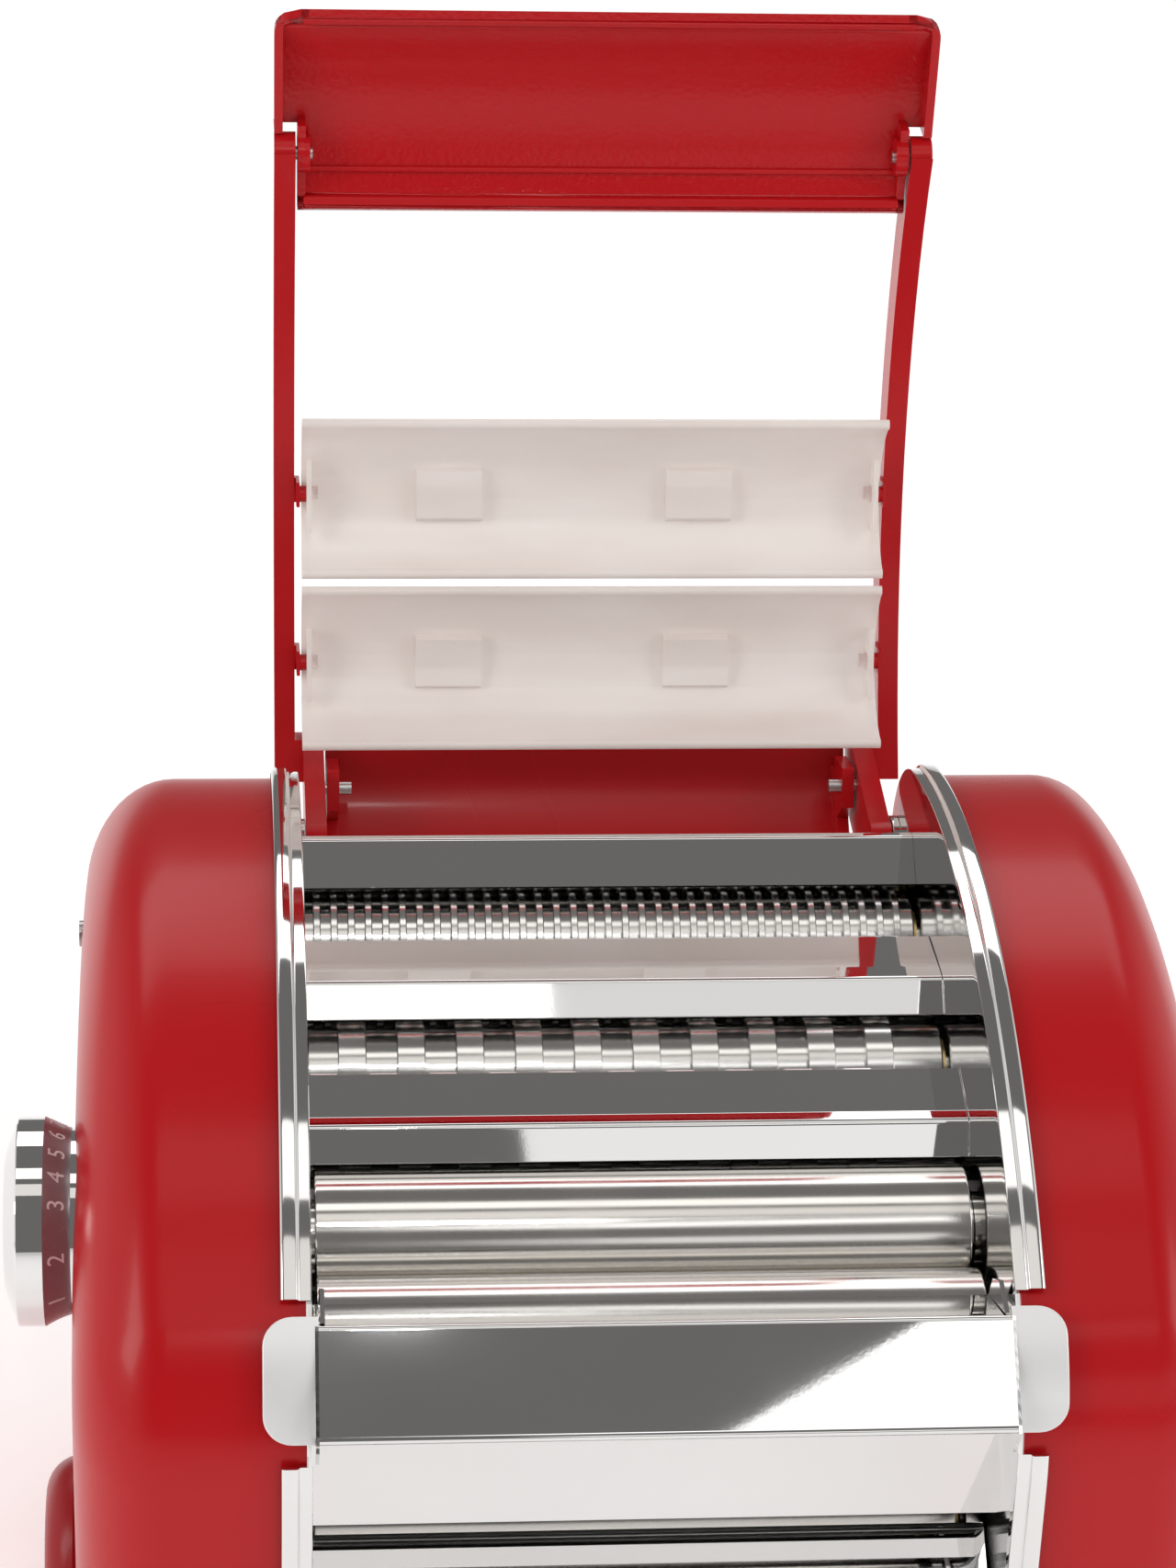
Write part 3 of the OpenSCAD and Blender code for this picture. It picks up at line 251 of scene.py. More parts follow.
def soft_group(limit):
    """Geometry nodes that weld a CAD mesh and shade it round where its facets meet below limit."""
    g = bpy.data.node_groups.new("soft_facets", "GeometryNodeTree")
    g.interface.new_socket("Geometry", in_out="INPUT", socket_type="NodeSocketGeometry")
    g.interface.new_socket("Geometry", in_out="OUTPUT", socket_type="NodeSocketGeometry")
    start = g.nodes.new("NodeGroupInput")
    end = g.nodes.new("NodeGroupOutput")
    weld = g.nodes.new("GeometryNodeMergeByDistance")
    weld.inputs["Distance"].default_value = 0.000002
    plain = g.nodes.new("GeometryNodeRemoveAttribute")
    plain.inputs["Name"].default_value = "custom_normal"
    faces = g.nodes.new("GeometryNodeSetShadeSmooth")
    faces.domain = "FACE"
    edges = g.nodes.new("GeometryNodeSetShadeSmooth")
    edges.domain = "EDGE"
    edges.inputs["Shade Smooth"].default_value = False
    fold = g.nodes.new("GeometryNodeInputMeshEdgeAngle")
    over = g.nodes.new("FunctionNodeCompare")
    over.data_type = "FLOAT"
    over.operation = "GREATER_THAN"
    over.inputs["B"].default_value = limit
    g.links.new(start.outputs[0], weld.inputs["Geometry"])
    g.links.new(weld.outputs[0], plain.inputs["Geometry"])
    g.links.new(plain.outputs[0], faces.inputs[0])
    g.links.new(faces.outputs[0], edges.inputs[0])
    g.links.new(fold.outputs["Unsigned Angle"], over.inputs["A"])
    g.links.new(over.outputs["Result"], edges.inputs["Selection"])
    g.links.new(edges.outputs[0], end.inputs[0])
    return g


# ---- CAD nodes: a material by their slot's name, soft facets and bevels in millimetres ----
by_slot = {"red_enamel": red, "red_plastic": red_plastic, "chrome": chrome, "steel": steel,
           "brass": brass, "rubber": rubber, "black_plastic": black, "clear_cover": milky}
edge_width = {"lid_arms": 0.7, "lid_rear_panel": 0.6, "front_cover": 0.25, "rear_cover": 0.25,
              "rubber_feet": 0.5, "base_plate": 0.3, "cord_inlet": 0.4, "switch_knob": 0.3,
              "screws": 0.3, "motor_body": 0.4, "lid_pins": 0.2, "lid_pivot_pins": 0.25,
              "lid_washers": 0.2, "tie_rods": 0.2}
soft = soft_group(math.radians(28))
for name, node in nodes.items():
    old = node.data.materials[0].name if node.data.materials else "steel"
    node.data.materials.clear()
    node.data.materials.append(next((m for k, m in by_slot.items() if k in old), steel))
    node.modifiers.new("soft", "NODES").node_group = soft
    if name in edge_width:
        broken_edges(node, edge_width[name])


# ---- building pieces: a mesh is its points in machine millimetres and its faces ----
def piece(name, verts, faces, mat, body="base", replaces=(), bevel=0.0, round_to=30, slot=None):
    """A mesh piece; folds flatter than round_to degrees are shaded round."""
    me = bpy.data.meshes.new(name)
    me.from_pydata([row(*v) for v in verts], [], faces)
    bm = bmesh.new()
    bm.from_mesh(me)
    bmesh.ops.remove_doubles(bm, verts=bm.verts, dist=0.000001)
    bmesh.ops.recalc_face_normals(bm, faces=bm.faces)
    for f in bm.faces:
        f.smooth = True
    for e in bm.edges:
        if len(e.link_faces) == 2 and e.calc_face_angle(0) > math.radians(round_to):
            e.smooth = False
    bm.to_mesh(me)
    bm.free()
    o = bpy.data.objects.new(name, me)
    bpy.context.scene.collection.objects.link(o)
    me.materials.append(mat)
    if bevel:
        broken_edges(o, bevel)
    even = o.modifiers.new("even", "WEIGHTED_NORMAL")  # keeps a flat face's mirror image straight
    even.keep_sharp = True
    even.weight = 90
    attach(o, body)
    if replaces:
        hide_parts(*replaces)
    return o


def loft(loops, closed=False):
    """A skin through loops of equal length, with flat ends, or closed into a ring."""
    verts = [v for loop in loops for v in loop]
    k = len(loops[0])
    faces = []
    for i in range(len(loops) - (0 if closed else 1)):
        a, b = i * k, (i + 1) % len(loops) * k
        faces += [(a + j, a + (j + 1) % k, b + (j + 1) % k, b + j) for j in range(k)]
    if not closed:
        faces += [tuple(range(k)), tuple(range(len(verts) - k, len(verts)))]
    return verts, faces


def join(*meshes):
    """Several meshes as one."""
    verts, faces = [], []
    for v, f in meshes:
        faces += [tuple(i + len(verts) for i in face) for face in f]
        verts += v
    return verts, faces


def mirrored(mesh):
    return [(-x, y, z) for x, y, z in mesh[0]], mesh[1]


def extrude(outline, x0, x1):
    return loft([[(x0, y, z) for y, z in outline], [(x1, y, z) for y, z in outline]])


def disc(c, r, x0, x1, n=72):
    return extrude([polar(c, r, 360 * i / n) for i in range(n)], x0, x1)


def lathe(c, points, n=96):
    """A body turned about the X line through c, from points [x, r]."""
    return loft([[(x, *polar(c, r, 360 * i / n)) for x, r in points] for i in range(n)],
                closed=True)


def rod(c, r, x0, x1, n=48):
    e = min(0.3, r / 4)
    return lathe(c, [(x0, 0), (x0, r - e), (x0 + e, r), (x1 - e, r), (x1, r - e), (x1, 0)], n)


def rounded(points, radius, n=5):
    """An open line with its corners rounded."""
    out = [Vector(points[0])]
    for a, b, c in zip(points, points[1:], points[2:]):
        a, b, c = Vector(a), Vector(b), Vector(c)
        u, v = (a - b).normalized(), (c - b).normalized()
        reach = radius / math.tan(u.angle(v) / 2)
        p = b + u * min(reach, (a - b).length * 0.45)
        q = b + v * min(reach, (c - b).length * 0.45)
        for k in range(n + 1):
            s = k / n
            out.append(p * (1 - s) ** 2 + b * 2 * s * (1 - s) + q * s * s)
    return out + [Vector(points[-1])]


def bent(points, t, radius):
    """Outline of a bent sheet whose one face follows the points; its thickness t is to the left."""
    line = rounded(points, radius)
    other = []
    for i, p in enumerate(line):
        d = (line[min(i + 1, len(line) - 1)] - line[max(i - 1, 0)]).normalized()
        other.append(p + Vector((-d.y, d.x)) * t)
    return [tuple(p) for p in line] + [tuple(p) for p in reversed(other)]


def slab(outline, holes, x0, x1):
    """A flat plate with holes: its two faces and the walls of all its edges."""
    loops = [outline] + holes
    flat = [Vector((y, z, 0)) for loop in loops for y, z in loop]
    tris = tessellate_polygon([[Vector((y, z, 0)) for y, z in loop] for loop in loops])
    k = len(flat)
    verts = [(x, p.x, p.y) for x in (x0, x1) for p in flat]
    faces = [tuple(t) for t in tris] + [tuple(k + i for i in t) for t in tris]
    start = 0
    for loop in loops:
        m = len(loop)
        faces += [(start + i, start + (i + 1) % m, k + start + (i + 1) % m, k + start + i)
                  for i in range(m)]
        start += m
    return verts, faces


def evaluated_mesh(o):
    bpy.context.view_layer.update()
    graph = bpy.context.evaluated_depsgraph_get()
    return bpy.data.meshes.new_from_object(o.evaluated_get(graph))


def baked_cut(o, cutters):
    """Cuts the given meshes out of a piece and keeps the result as its mesh."""
    for verts, faces in cutters:
        tool = bpy.data.objects.new("tool", bpy.data.meshes.new("tool"))
        tool.data.from_pydata([row(*v) for v in verts], [], faces)
        bpy.context.scene.collection.objects.link(tool)
        cut = o.modifiers.new("cut", "BOOLEAN")
        cut.operation = "DIFFERENCE"
        cut.solver = "EXACT"
        cut.object = tool
        o.data = evaluated_mesh(o)
        o.modifiers.remove(cut)
        bpy.data.objects.remove(tool)


# ---- housings: one wide elliptical shoulder between the side and the profile ----
def shoulder(out_x, off, width, depth, n=14):
    """Rows of a skin from its open side to its flat side at out_x."""
    rows = [(PX, profile(off)), (out_x - width, profile(off))]
    for i in range(1, n + 1):
        a = math.radians(90 * i / n)
        rows.append((out_x - width + width * math.sin(a), profile(off - depth * (1 - math.cos(a)))))
    return [[(x, y, z) for y, z in pts] for x, pts in rows]


def housing_mesh():
    outer = shoulder(OUT_X, HOUSING_OFF, EDGE_X, EDGE_N)
    inner = shoulder(OUT_X - WALL, HOUSING_OFF - WALL, EDGE_X - 1, EDGE_N - 1.5)
    loops = list(reversed(outer)) + inner
    k = len(loops[0])
    verts = [v for loop in loops for v in loop]
    faces = []
    for i in range(len(loops) - 1):
        faces += [(i * k + j, i * k + j + 1, (i + 1) * k + j + 1, (i + 1) * k + j)
                  for j in range(k - 1)]
    last = len(loops) - 1
    faces += [tuple(range(k)), tuple(last * k + j for j in range(k))]
    for j in (0, k - 1):  # the bottom edges of the wall
        for i in range(len(outer) - 1):
            a, b = i, last - i
            faces.append((a * k + j, (a + 1) * k + j, (b - 1) * k + j, b * k + j))
    faces.append((0, k - 1, last * k + k - 1, last * k))
    return verts, faces


INLET_X, INLET_Z = PX + 26, 30.0
INLET_W, INLET_H = 12, 9  # half sizes of the cord inlet's opening
inlet = [(90, INLET_Z - INLET_H), (110, INLET_Z - INLET_H),
         (110, INLET_Z + INLET_H), (90, INLET_Z + INLET_H)]
right_housing = piece("housing_right", *housing_mesh(), red, replaces=["right_housing"],
                      slot="red_enamel")
baked_cut(right_housing, [extrude(inlet, INLET_X - INLET_W, INLET_X + INLET_W)])
left_housing = piece("housing_left", *mirrored(housing_mesh()), red, replaces=["left_housing"],
                     slot="red_enamel")
THROUGH = (-OUT_X - 2, -OUT_X + 9)  # across the left housing's side
baked_cut(left_housing, [disc(DIAL_C, NECK_R + 0.5, *THROUGH), disc(KNOB_C, 6.4, *THROUGH, 32)])

# raised index mark beside the dial, on the shoulder's curve
INDEX_C = polar(DIAL_C, NECK_R + 4.5, 150)
index_depth = FRONT_R + HOUSING_OFF - math.dist(INDEX_C, FRONT_C)
INDEX_X = -(OUT_X - EDGE_X * (1 - math.sqrt(1 - (1 - index_depth / EDGE_N) ** 2)))
index_line = [(INDEX_X - 1.2, 0), (INDEX_X - 1.1, 0.9), (INDEX_X - 0.7, 1.6),
              (INDEX_X - 0.1, 2.0), (INDEX_X + 1.6, 2.1), (INDEX_X + 1.6, 0)]
piece("index_mark", *lathe(INDEX_C, index_line, 32), red, slot="red_enamel")

# ---- side plates: a flat plate and a stepped, rounded rim with a gap for the tray ----
NOTCH = (127, 170)  # the gap's ends, about the front corner's centre
NOTCH_TOP = angle_of(TOP_C, polar(FRONT_C, FRONT_R, NOTCH[0]))  # its upper end about TOP_C
RIM_DEEP = 3.0  # the rim's section reaches this far into the plate
RIM_SECTION = [(HX, -RIM_DEEP), (HX, -0.35), (HX + 0.12, -0.1), (HX + 0.4, 0), (PX + 1.1, 0),
               (PX + 1.45, 0.12), (PX + 1.62, 0.4), (PX + 1.75, 0.75), (PX + 2.1, 1.0),
               (RIM_X - 0.9, 1.0), (RIM_X - 0.3, 0.82), (RIM_X, 0.4), (RIM_X, -0.2),
               (PX + 1.7, -0.2), (PX + 1.4, -1.2), (PX, -1.2), (PX, -RIM_DEEP)]
EDGE_SECTION = [(HX, -RIM_DEEP), (HX, -0.3), (HX + 0.3, 0), (PX - 0.3, 0), (PX, -0.3),
                (PX, -RIM_DEEP)]
BUSH_R = 7.02  # hole of a roller bush


def station(section, c, r, a):
    return [(x, *polar(c, r + o, a)) for x, o in section]


def foot_station(section, y, s):
    return [(x, y + s * o, DECK_Z) for x, o in section]


def side_rim():
    """The rim above the tray's notch, the plate's plain edge in it, and the rim below it."""
    over = [(REAR_C, REAR_R, REAR_A * i / 24) for i in range(25)]
    over += [(TOP_C, CROWN_R, REAR_A + (FRONT_A - REAR_A) * i / 80) for i in range(81)]
    front = [(FRONT_C, FRONT_R, FRONT_A + (180 - FRONT_A) * i / 40) for i in range(41)]
    upper = [foot_station(RIM_SECTION, REAR_Y, 1)]
    upper += [station(RIM_SECTION, *p) for p in over if p[2] < NOTCH_TOP]
    gap = [station(EDGE_SECTION, TOP_C, CROWN_R, NOTCH_TOP)]
    gap += [station(EDGE_SECTION, *p) for p in over if p[2] > NOTCH_TOP]
    gap += [station(EDGE_SECTION, *p) for p in front if p[2] <= NOTCH[1]]
    gap += [station(EDGE_SECTION, FRONT_C, FRONT_R, NOTCH[1])]
    lower = [station(RIM_SECTION, FRONT_C, FRONT_R, NOTCH[1])]
    lower += [station(RIM_SECTION, *p) for p in front if p[2] >= NOTCH[1] + 0.1]
    lower += [foot_station(RIM_SECTION, -FRONT_Y, -1)]
    return join(loft(upper), loft(gap), loft(lower))


def obround(c, r, reach, a):
    """Outline of a slot: two half circles, reach apart each way along the angle a."""
    return (arc(polar(c, reach, a), r, a - 90, a + 90, 20)
            + arc(polar(c, -reach, a), r, a + 90, a + 270, 20))


def side_plate():
    outline = profile(-RIM_DEEP)
    outline[0] = (outline[0][0], DECK_Z)
    outline[-1] = (outline[-1][0], DECK_Z)
    holes = [arc(c, BUSH_R, 0, 350, 35) for c in [SM_FRONT] + SPAGHETTI + FETTUCCINE]
    holes += [obround(SM_REAR, 8.5, 1.0, FEED_A), obround((-30, CROWN_Z - 83), 3.4, 1.0, FEED_A)]
    return join(slab(outline, holes, HX, PX), side_rim())


piece("side_plate_right", *side_plate(), plate_chrome, replaces=["right_side_plate"],
      round_to=40, slot="chrome")
piece("side_plate_left", *mirrored(side_plate()), plate_chrome, replaces=["left_side_plate"],
      round_to=40, slot="chrome")

# ---- bent sheets between the plates: the face's line and the radius of its folds ----
GUIDE_TOP = CROWN_Z - 20.3
SHEET_X = HX - 0.05
sheets = {
    "rear_guide_sheet": ([(62.6, GUIDE_TOP - 7.9), (71.8, GUIDE_TOP), (74.4, GUIDE_TOP),
                          (78, CROWN_Z - 57)], 1.2),
    "middle_guide_sheet": ([(14.2, CROWN_Z - 35.6), (20, CROWN_Z - 29.2), (25, CROWN_Z - 29.2),
                            (40.7, CROWN_Z - 30)], 1.6),
    "front_guide_sheet": ([(-27.6, CROWN_Z - 47.4), (-24.3, CROWN_Z - 40), (-21, CROWN_Z - 39.5),
                           (-8.2, CROWN_Z - 36.3)], 1.6),
    "chute": ([(-100.2, CROWN_Z - 133), (-86, CROWN_Z - 115.6), (-77.7, CROWN_Z - 109.4),
               (79, CROWN_Z - 60.5)], 6)}
for name, (points, radius) in sheets.items():
    piece(name + "_bent", *extrude(bent(points, -SHEET, radius), -SHEET_X, SHEET_X), chrome,
          replaces=[name], bevel=0.15, slot="chrome")

# ---- rollers ----
SMOOTH_R, SMOOTH_X = 14.2, 71.0
GEAR_END = PX + 21.6  # end of a shaft that carries gears
STUB_END = PX + 8.3  # end of a plain shaft in its bush


def smooth_roller(c, ends):
    end = [(SMOOTH_X, 0), (SMOOTH_X, SMOOTH_R - 0.5), (SMOOTH_X - 0.15, SMOOTH_R - 0.15),
           (SMOOTH_X - 0.5, SMOOTH_R)]
    return join(lathe(c, [(-x, r) for x, r in end] + end[::-1], 128), *ends)


def fluted(c, x0, x1, flutes, r=12.0, edge=0.2, chamfer=0.25, deep=0.28):
    """One cutting disc; a front disc has fine teeth that draw the dough in."""
    n = flutes * 4 if flutes else 64
    loops = []
    for x, inset in ((x0, r), (x0, chamfer), (x0 + edge, 0), (x1 - edge, 0), (x1, chamfer),
                     (x1, r)):
        ring = []
        for i in range(n):
            cut = deep if flutes and i % 4 >= 2 and inset < r else 0
            ring.append((x, *polar(c, max(r - inset - cut, 0.01), 360 * i / n)))
        loops.append(ring)
    return loft(loops)


def cutter(c, width, shift, flutes, right_end, half=HX - 0.9, core_r=10.1, play=0.15):
    """Discs as wide as a strand on a core, a strand's width apart, the first at shift."""
    discs = []
    for i in range(int((2 * half - shift) / (2 * width))):
        x = -half + shift + 2 * width * i
        discs.append(fluted(c, x + play, x + width - play, flutes))
    return join(rod(c, core_r, -half, half, 64), rod(c, 5, -STUB_END, right_end), *discs)


piece("smooth_roller_rear", *smooth_roller(SM_REAR, [rod(SM_REAR, 8, -PX - 5.3, STUB_END)]),
      roller_chrome, "rear_smooth", ["rear_smooth_roller"], slot="chrome")
front_ends = [rod(SM_FRONT, 5, -PX - 4, GEAR_END), rod(SM_FRONT, 7, -HX + 0.5, -SMOOTH_X),
              rod(SM_FRONT, 7, SMOOTH_X, HX - 0.5)]
piece("smooth_roller_front", *smooth_roller(SM_FRONT, front_ends), roller_chrome,
      "front_smooth", ["front_smooth_roller"], slot="chrome")
for name, c, width, shift, flutes, right_end in (
        ("spaghetti_roller_front", SPAGHETTI[0], 2.0, 0, 40, GEAR_END),
        ("spaghetti_roller_rear", SPAGHETTI[1], 2.0, 2.0, 0, PX + 4),
        ("fettuccine_roller_front", FETTUCCINE[0], 6.6, 0, 40, GEAR_END),
        ("fettuccine_roller_rear", FETTUCCINE[1], 6.6, 6.6, 0, PX + 4)):
    piece(name + "_discs", *cutter(c, width, shift, flutes, right_end), disc_steel,
          name.replace("_roller", ""), [name], round_to=25, slot="steel")

# ---- tray: a bent sheet with two rounded tabs over the rims ----
TAB_X, TAB_R = HX + 10.2, 6.0  # a tab's outer edge and its corners
TAB_A = (130.8, 163.2)  # its ends, about the front corner's centre
TAB_IN = HX - 1.2
TRAY_X = HX - 0.5


def tab():
    """One tab: a curved plate with two rounded outer corners."""
    a0, a1 = TAB_A
    length = math.radians(a1 - a0) * (FRONT_R + 1)
    places = [TAB_R * (1 - math.cos(math.radians(90 * i / 8))) for i in range(9)]
    places += [TAB_R + (length - 2 * TAB_R) * i / 14 for i in range(1, 14)]
    places += [length - p for p in reversed(places[:9])]
    loops = []
    for s in places:
        near = min(s, length - s, TAB_R)
        inset = TAB_R - math.sqrt(max(TAB_R ** 2 - (TAB_R - near) ** 2, 0))
        a = a0 + (a1 - a0) * s / length
        x = TAB_X - inset
        section = [(TAB_IN, 0.3), (x - 0.2, 0.3), (x, 0.5), (x, 1.3), (x - 0.2, 1.5), (TAB_IN, 1.5)]
        loops.append(station(section, FRONT_C, FRONT_R, a))
    return loft(loops)


tray_sheet = extrude(bent([TRAY_BACK, TRAY_RIDGE, TRAY_FOOT, TRAY_LIP], TRAY_T, 1.4),
                     -TRAY_X, TRAY_X)
web_line = [TRAY_RIDGE] + arc(FRONT_C, FRONT_R + 0.3, 134, NOTCH[1] - 1, 12) + [TRAY_FOOT]
web = extrude(web_line, TAB_IN, TRAY_X)
wall_line = [(TRAY_RIDGE[0] + 1, TRAY_RIDGE[1]), TRAY_BACK,
             (TRAY_BACK[0] - 3, TRAY_BACK[1] + 6), (TRAY_RIDGE[0] + 10, TRAY_RIDGE[1] + 2)]
wall = extrude(wall_line, HX - 2.6, HX - 1.6)
piece("tray_sheet", *join(tray_sheet, web, mirrored(web), wall, mirrored(wall)), chrome, "tray",
      ["dough_tray"], bevel=0.15, slot="chrome")
piece("tray_tabs", *join(tab(), mirrored(tab())), grain_and_painted_sheen, "tray", bevel=0.12, slot="chrome")

# ---- thickness dial with its numbers ----
FLARE_FOOT, FLARE_H = 0.6, 5.8  # the neck widens between these heights over the housing's side
NUMBER_FOOT, NUMBER_SIZE = 1.9, 5.0
NUMBER_A0 = 153  # a number at bearing 0 is this far round the dial's axis


def neck_at(h):
    """Radius of the dial's neck at a height over the housing's side."""
    return NECK_R + (DIAL_R - NECK_R) * min(max(h - FLARE_FOOT, 0) / FLARE_H, 1) ** 1.35


flare = [FLARE_FOOT + FLARE_H * k / 10 for k in range(11)]
dial_line = [(0, -4), (NECK_R, -4)] + [(neck_at(h), h) for h in flare]
dial_line += [(DIAL_R, DIAL_H - 3.3), (DIAL_R - 0.15, DIAL_H - 3.05),
              (DIAL_R * 0.69, DIAL_H - 0.42), (DIAL_R * 0.667, DIAL_H - 0.3),
              (DIAL_R * 0.62, DIAL_H - 0.2), (DIAL_R * 0.3, DIAL_H - 0.05), (0, DIAL_H)]
dial = piece("dial_turned", *lathe(DIAL_C, [(-OUT_X - h, r) for r, h in dial_line], 128), chrome,
             "dial", ["thickness_dial"], round_to=12, slot="chrome")
dial.data.materials.append(neck_band)
for f in dial.data.polygons:
    if row(-OUT_X - flare[-1], 0, 0).x < f.center.x < row(-OUT_X - FLARE_FOOT, 0, 0).x:
        f.material_index = 1


def number(text, bearing):
    """A plain number laid round the dial's neck, its top away from the housing."""
    curve = bpy.data.curves.new("number_" + text, "FONT")
    curve.body = text
    curve.size = NUMBER_SIZE
    curve.align_x = "CENTER"
    curve.extrude = 0.12
    curve.resolution_u = 4
    plain = bpy.data.objects.new("number_" + text, curve)
    bpy.context.scene.collection.objects.link(plain)
    me = evaluated_mesh(plain)
    bpy.data.objects.remove(plain)
    verts = []
    for v in me.vertices:
        h = NUMBER_FOOT + v.co.y
        a = NUMBER_A0 - bearing - math.degrees(v.co.x / NECK_R)
        verts.append((-OUT_X - h, *polar(DIAL_C, neck_at(h) + v.co.z, a)))
    return verts, [tuple(p.vertices) for p in me.polygons]


bearings = {"1": -47, "2": -17, "3": 14.6, "4": 31.6, "5": 48, "6": 65, "7": 82, "8": 99, "9": 116}
piece("dial_numbers", *join(*[number(t, b) for t, b in bearings.items()]), engraved, "dial",
      slot="chrome")


# ---- feed flap: a curved scoop with thin walls, ribs and pivot ears ----
def over_top(y, height):
    """A point of the closed lid, height over the top curve."""
    return (y, TOP_C[1] + math.sqrt((CROWN_R + height) ** 2 - (y - CROWN_Y) ** 2))


PIVOT = over_top(-75.0, ARM_GAP + ARM_DEPTH / 2)
HEEL = Vector(over_top(PIVOT[0] + 13.6, 3.7))
TIP = Vector((-108.7, CROWN_Z - 38.6))
BULGE, FLAP_T = 8.0, 2.2  # the scoop's rise over its chord, and its wall
FLAP_X, EAR_X = RIM_X - 1.5, HX - 0.4  # half width of the scoop, and between the arms
chord = (TIP - HEEL).length
along = (TIP - HEEL) / chord
outward = Vector((along.y, -along.x))
flap_r = (chord * chord / 4 + BULGE * BULGE) / (2 * BULGE)


def flap_point(t, inset):
    """A point of the scoop's side view, t millimetres from the heel along the chord."""
    r = flap_r - inset
    s = min(max((t - chord / 2) / flap_r, -1), 1)
    middle = (HEEL + TIP) / 2
    return middle + along * r * s + outward * (r * math.sqrt(1 - s * s) - flap_r + BULGE)


def scoop(t0, t1, half, corner, n=24):
    """Sheet of the scoop between two places along it, its end corners rounded."""
    loops, walls = [], []
    for i in range(n + 1):
        t = t0 + (t1 - t0) * i / n
        near = min(chord - t, corner)
        w = half - (corner - math.sqrt(max(corner ** 2 - (corner - near) ** 2, 0)))
        a, b = opened(flap_point(t, 0)), opened(flap_point(t, FLAP_T))
        loops.append([(-w, *a), (w, *a), (w, *b), (-w, *b)])
        rise = (HEEL + along * t) - outward * 0.2
        top = opened(rise) if (rise - flap_point(t, FLAP_T)).dot(outward) < -0.4 else b
        walls.append([(w, *a), (w, *top), (w - 2, *top), (w - 2, *a)])
    return join(loft(loops), loft(walls), mirrored(loft(walls)))


def ridge(t, width, height, half):
    """A low straight rib on the hollow face of the scoop."""
    a, b = flap_point(t - width / 2, FLAP_T - 0.3), flap_point(t + width / 2, FLAP_T - 0.3)
    up = -outward * (height + 0.3)
    return extrude([opened(p) for p in (a, b, b + up, a + up)], -half, half)


ear = disc(opened(PIVOT), 4.5, EAR_X - 3, EAR_X)
scoops = [scoop(19.6, chord, FLAP_X, 6.0), scoop(0, 21.5, EAR_X, 0)]
piece("flap_scoop", *join(*scoops, ear, mirrored(ear)), hammered, "flap", ["feed_flap"],
      bevel=0.5, slot="red_enamel")
ribs = [ridge(2.2, 1.8, 1.3, EAR_X - 1.5), ridge(9.0, 1.2, 1.0, EAR_X - 1.5),
        ridge(chord - 1.3, 1.6, 1.6, FLAP_X - 6.5)]
piece("flap_ribs", *join(*ribs), red, "flap", bevel=0.35, slot="red_enamel")

# ---- floor and camera ----
floor_mesh = bpy.data.meshes.new("floor")
floor_mesh.from_pydata([(-6, -6, 0), (6, -6, 0), (6, 6, 0), (-6, 6, 0)], [], [(0, 1, 2, 3)])
floor = bpy.data.objects.new("floor", floor_mesh)
bpy.context.scene.collection.objects.link(floor)
floor_mesh.materials.append(material("floor_paint", (0.93, 0.93, 0.93), 0.7,
                                     Emission_Color=(1, 1, 1, 1), Emission_Strength=0.32))

SENSOR, FOCAL_PX, IMAGE_PX = 36, 4700, 1706  # the fitted focal length, over the image's height
yaw, pitch, roll = math.radians(5.365), math.radians(27.0), math.radians(2.149)
ahead = Vector((math.sin(yaw) * math.cos(pitch), math.cos(yaw) * math.cos(pitch),
                -math.sin(pitch)))
right = Vector((math.cos(yaw), -math.sin(yaw), 0))
up = right.cross(ahead)
cam_right = math.cos(roll) * right + math.sin(roll) * up
cam_up = -math.sin(roll) * right + math.cos(roll) * up
cam = bpy.data.objects.new("camera", bpy.data.cameras.new("camera"))
bpy.context.scene.collection.objects.link(cam)
cam.data.sensor_width = SENSOR
cam.data.lens = SENSOR * FOCAL_PX / IMAGE_PX
cam.data.clip_start = 0.05
turn = Matrix((cam_right, cam_up, -ahead)).transposed().to_4x4()
cam.matrix_world = Matrix.Translation(row(-89.23, -823.9, 651.4)) @ turn
bpy.context.scene.camera = cam


# ---- light ----
def area(name, place, aim, size, power, colour=(1, 1, 1)):
    """A light at place that faces aim, both in the machine's millimetres; its size is in metres."""
    light = bpy.data.lights.new(name, "AREA")
    light.shape = "RECTANGLE"
    light.size, light.size_y = size
    light.energy = power
    light.color = colour
    o = bpy.data.objects.new(name, light)
    bpy.context.scene.collection.objects.link(o)
    o.location = row(*place)
    o.rotation_euler = (row(*aim) - row(*place)).to_track_quat("-Z", "Y").to_euler()
    return o


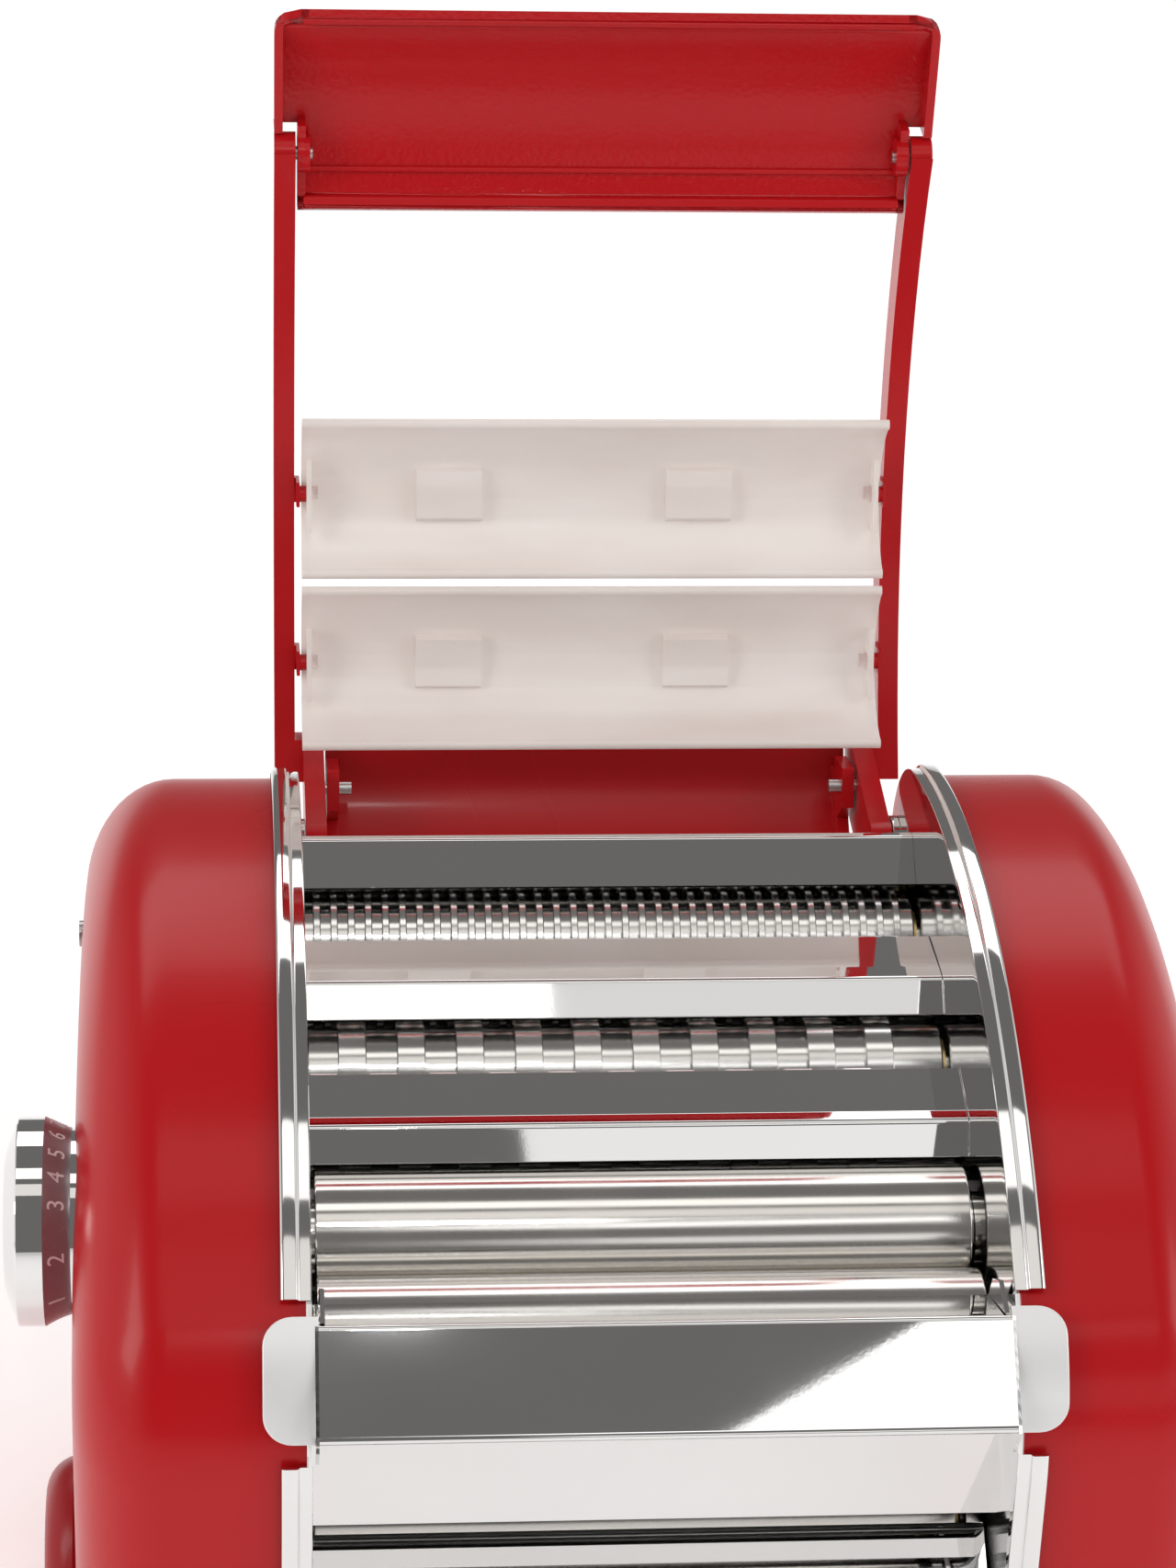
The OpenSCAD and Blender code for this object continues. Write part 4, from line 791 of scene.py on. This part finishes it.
# what the polished sheets and rollers mirror: two high softboxes for the middle guide, a low
# panel for the front guide, a slanted panel for the tray, two strips overhead for the rollers
# and one small bright lamp
area("softbox_high", (0, -910, 1457), (0, 17, 166), (0.2, 0.08), 0.1)
area("softbox_high_right", (228, -910, 1457), (60, 17, 166), (0.27, 0.08), 0.047)
area("panel_low", (660, -1500, 586), (100, -26, 156), (1.2, 0.5), 1.6)
tray_panel = area("panel_tray", (430, -1600, 1922), (145, -200, 57), (0.9, 0.3), 1.2)
tray_panel.rotation_euler.rotate_axis("Z", math.radians(25.9))
area("strip_overhead", (0, -115, 1200), (0, -30, 160), (0.8, 0.24), 0.75, (1, 0.98, 0.95))
area("strip_front", (0, -490, 1200), (0, -30, 160), (0.8, 0.26), 0.5, (1, 0.97, 0.93))
area("lamp", (-15, -750, 1110), (0, 0, 160), (0.03, 0.03), 0.4)

# soft light from behind and from both sides
area("backlight", (0, 1500, 1600), (0, 700, 0), (2.4, 1.0), 14)
area("left", (-1200, -500, 900), (0, 0, 150), (0.5, 0.7), 5, (1, 0.96, 0.93))
area("right", (1200, -500, 900), (0, 0, 150), (0.5, 0.7), 4, (1, 0.96, 0.93))

# a studio that is grey ahead, behind and above, and white far to the left and right
world = bpy.data.worlds.new("studio")
bpy.context.scene.world = world
world.use_nodes = True
wt = world.node_tree
direction = wt.nodes.new("ShaderNodeTexCoord")
split = wt.nodes.new("ShaderNodeSeparateXYZ")
sideways = wt.nodes.new("ShaderNodeMath")
sideways.operation = "ABSOLUTE"
ramp = wt.nodes.new("ShaderNodeValToRGB")
ramp.color_ramp.elements[0].position = 0.5
ramp.color_ramp.elements[0].color = (0.17, 0.165, 0.16, 1)
ramp.color_ramp.elements[1].position = 0.86
ramp.color_ramp.elements[1].color = (1, 0.99, 0.98, 1)
wt.links.new(direction.outputs["Generated"], split.inputs["Vector"])
wt.links.new(split.outputs["X"], sideways.inputs[0])
wt.links.new(sideways.outputs["Value"], ramp.inputs["Fac"])
wt.links.new(ramp.outputs["Color"], wt.nodes["Background"].inputs["Color"])
wt.nodes["Background"].inputs["Strength"].default_value = 1.0
bpy.context.scene.view_settings.view_transform = "Standard"
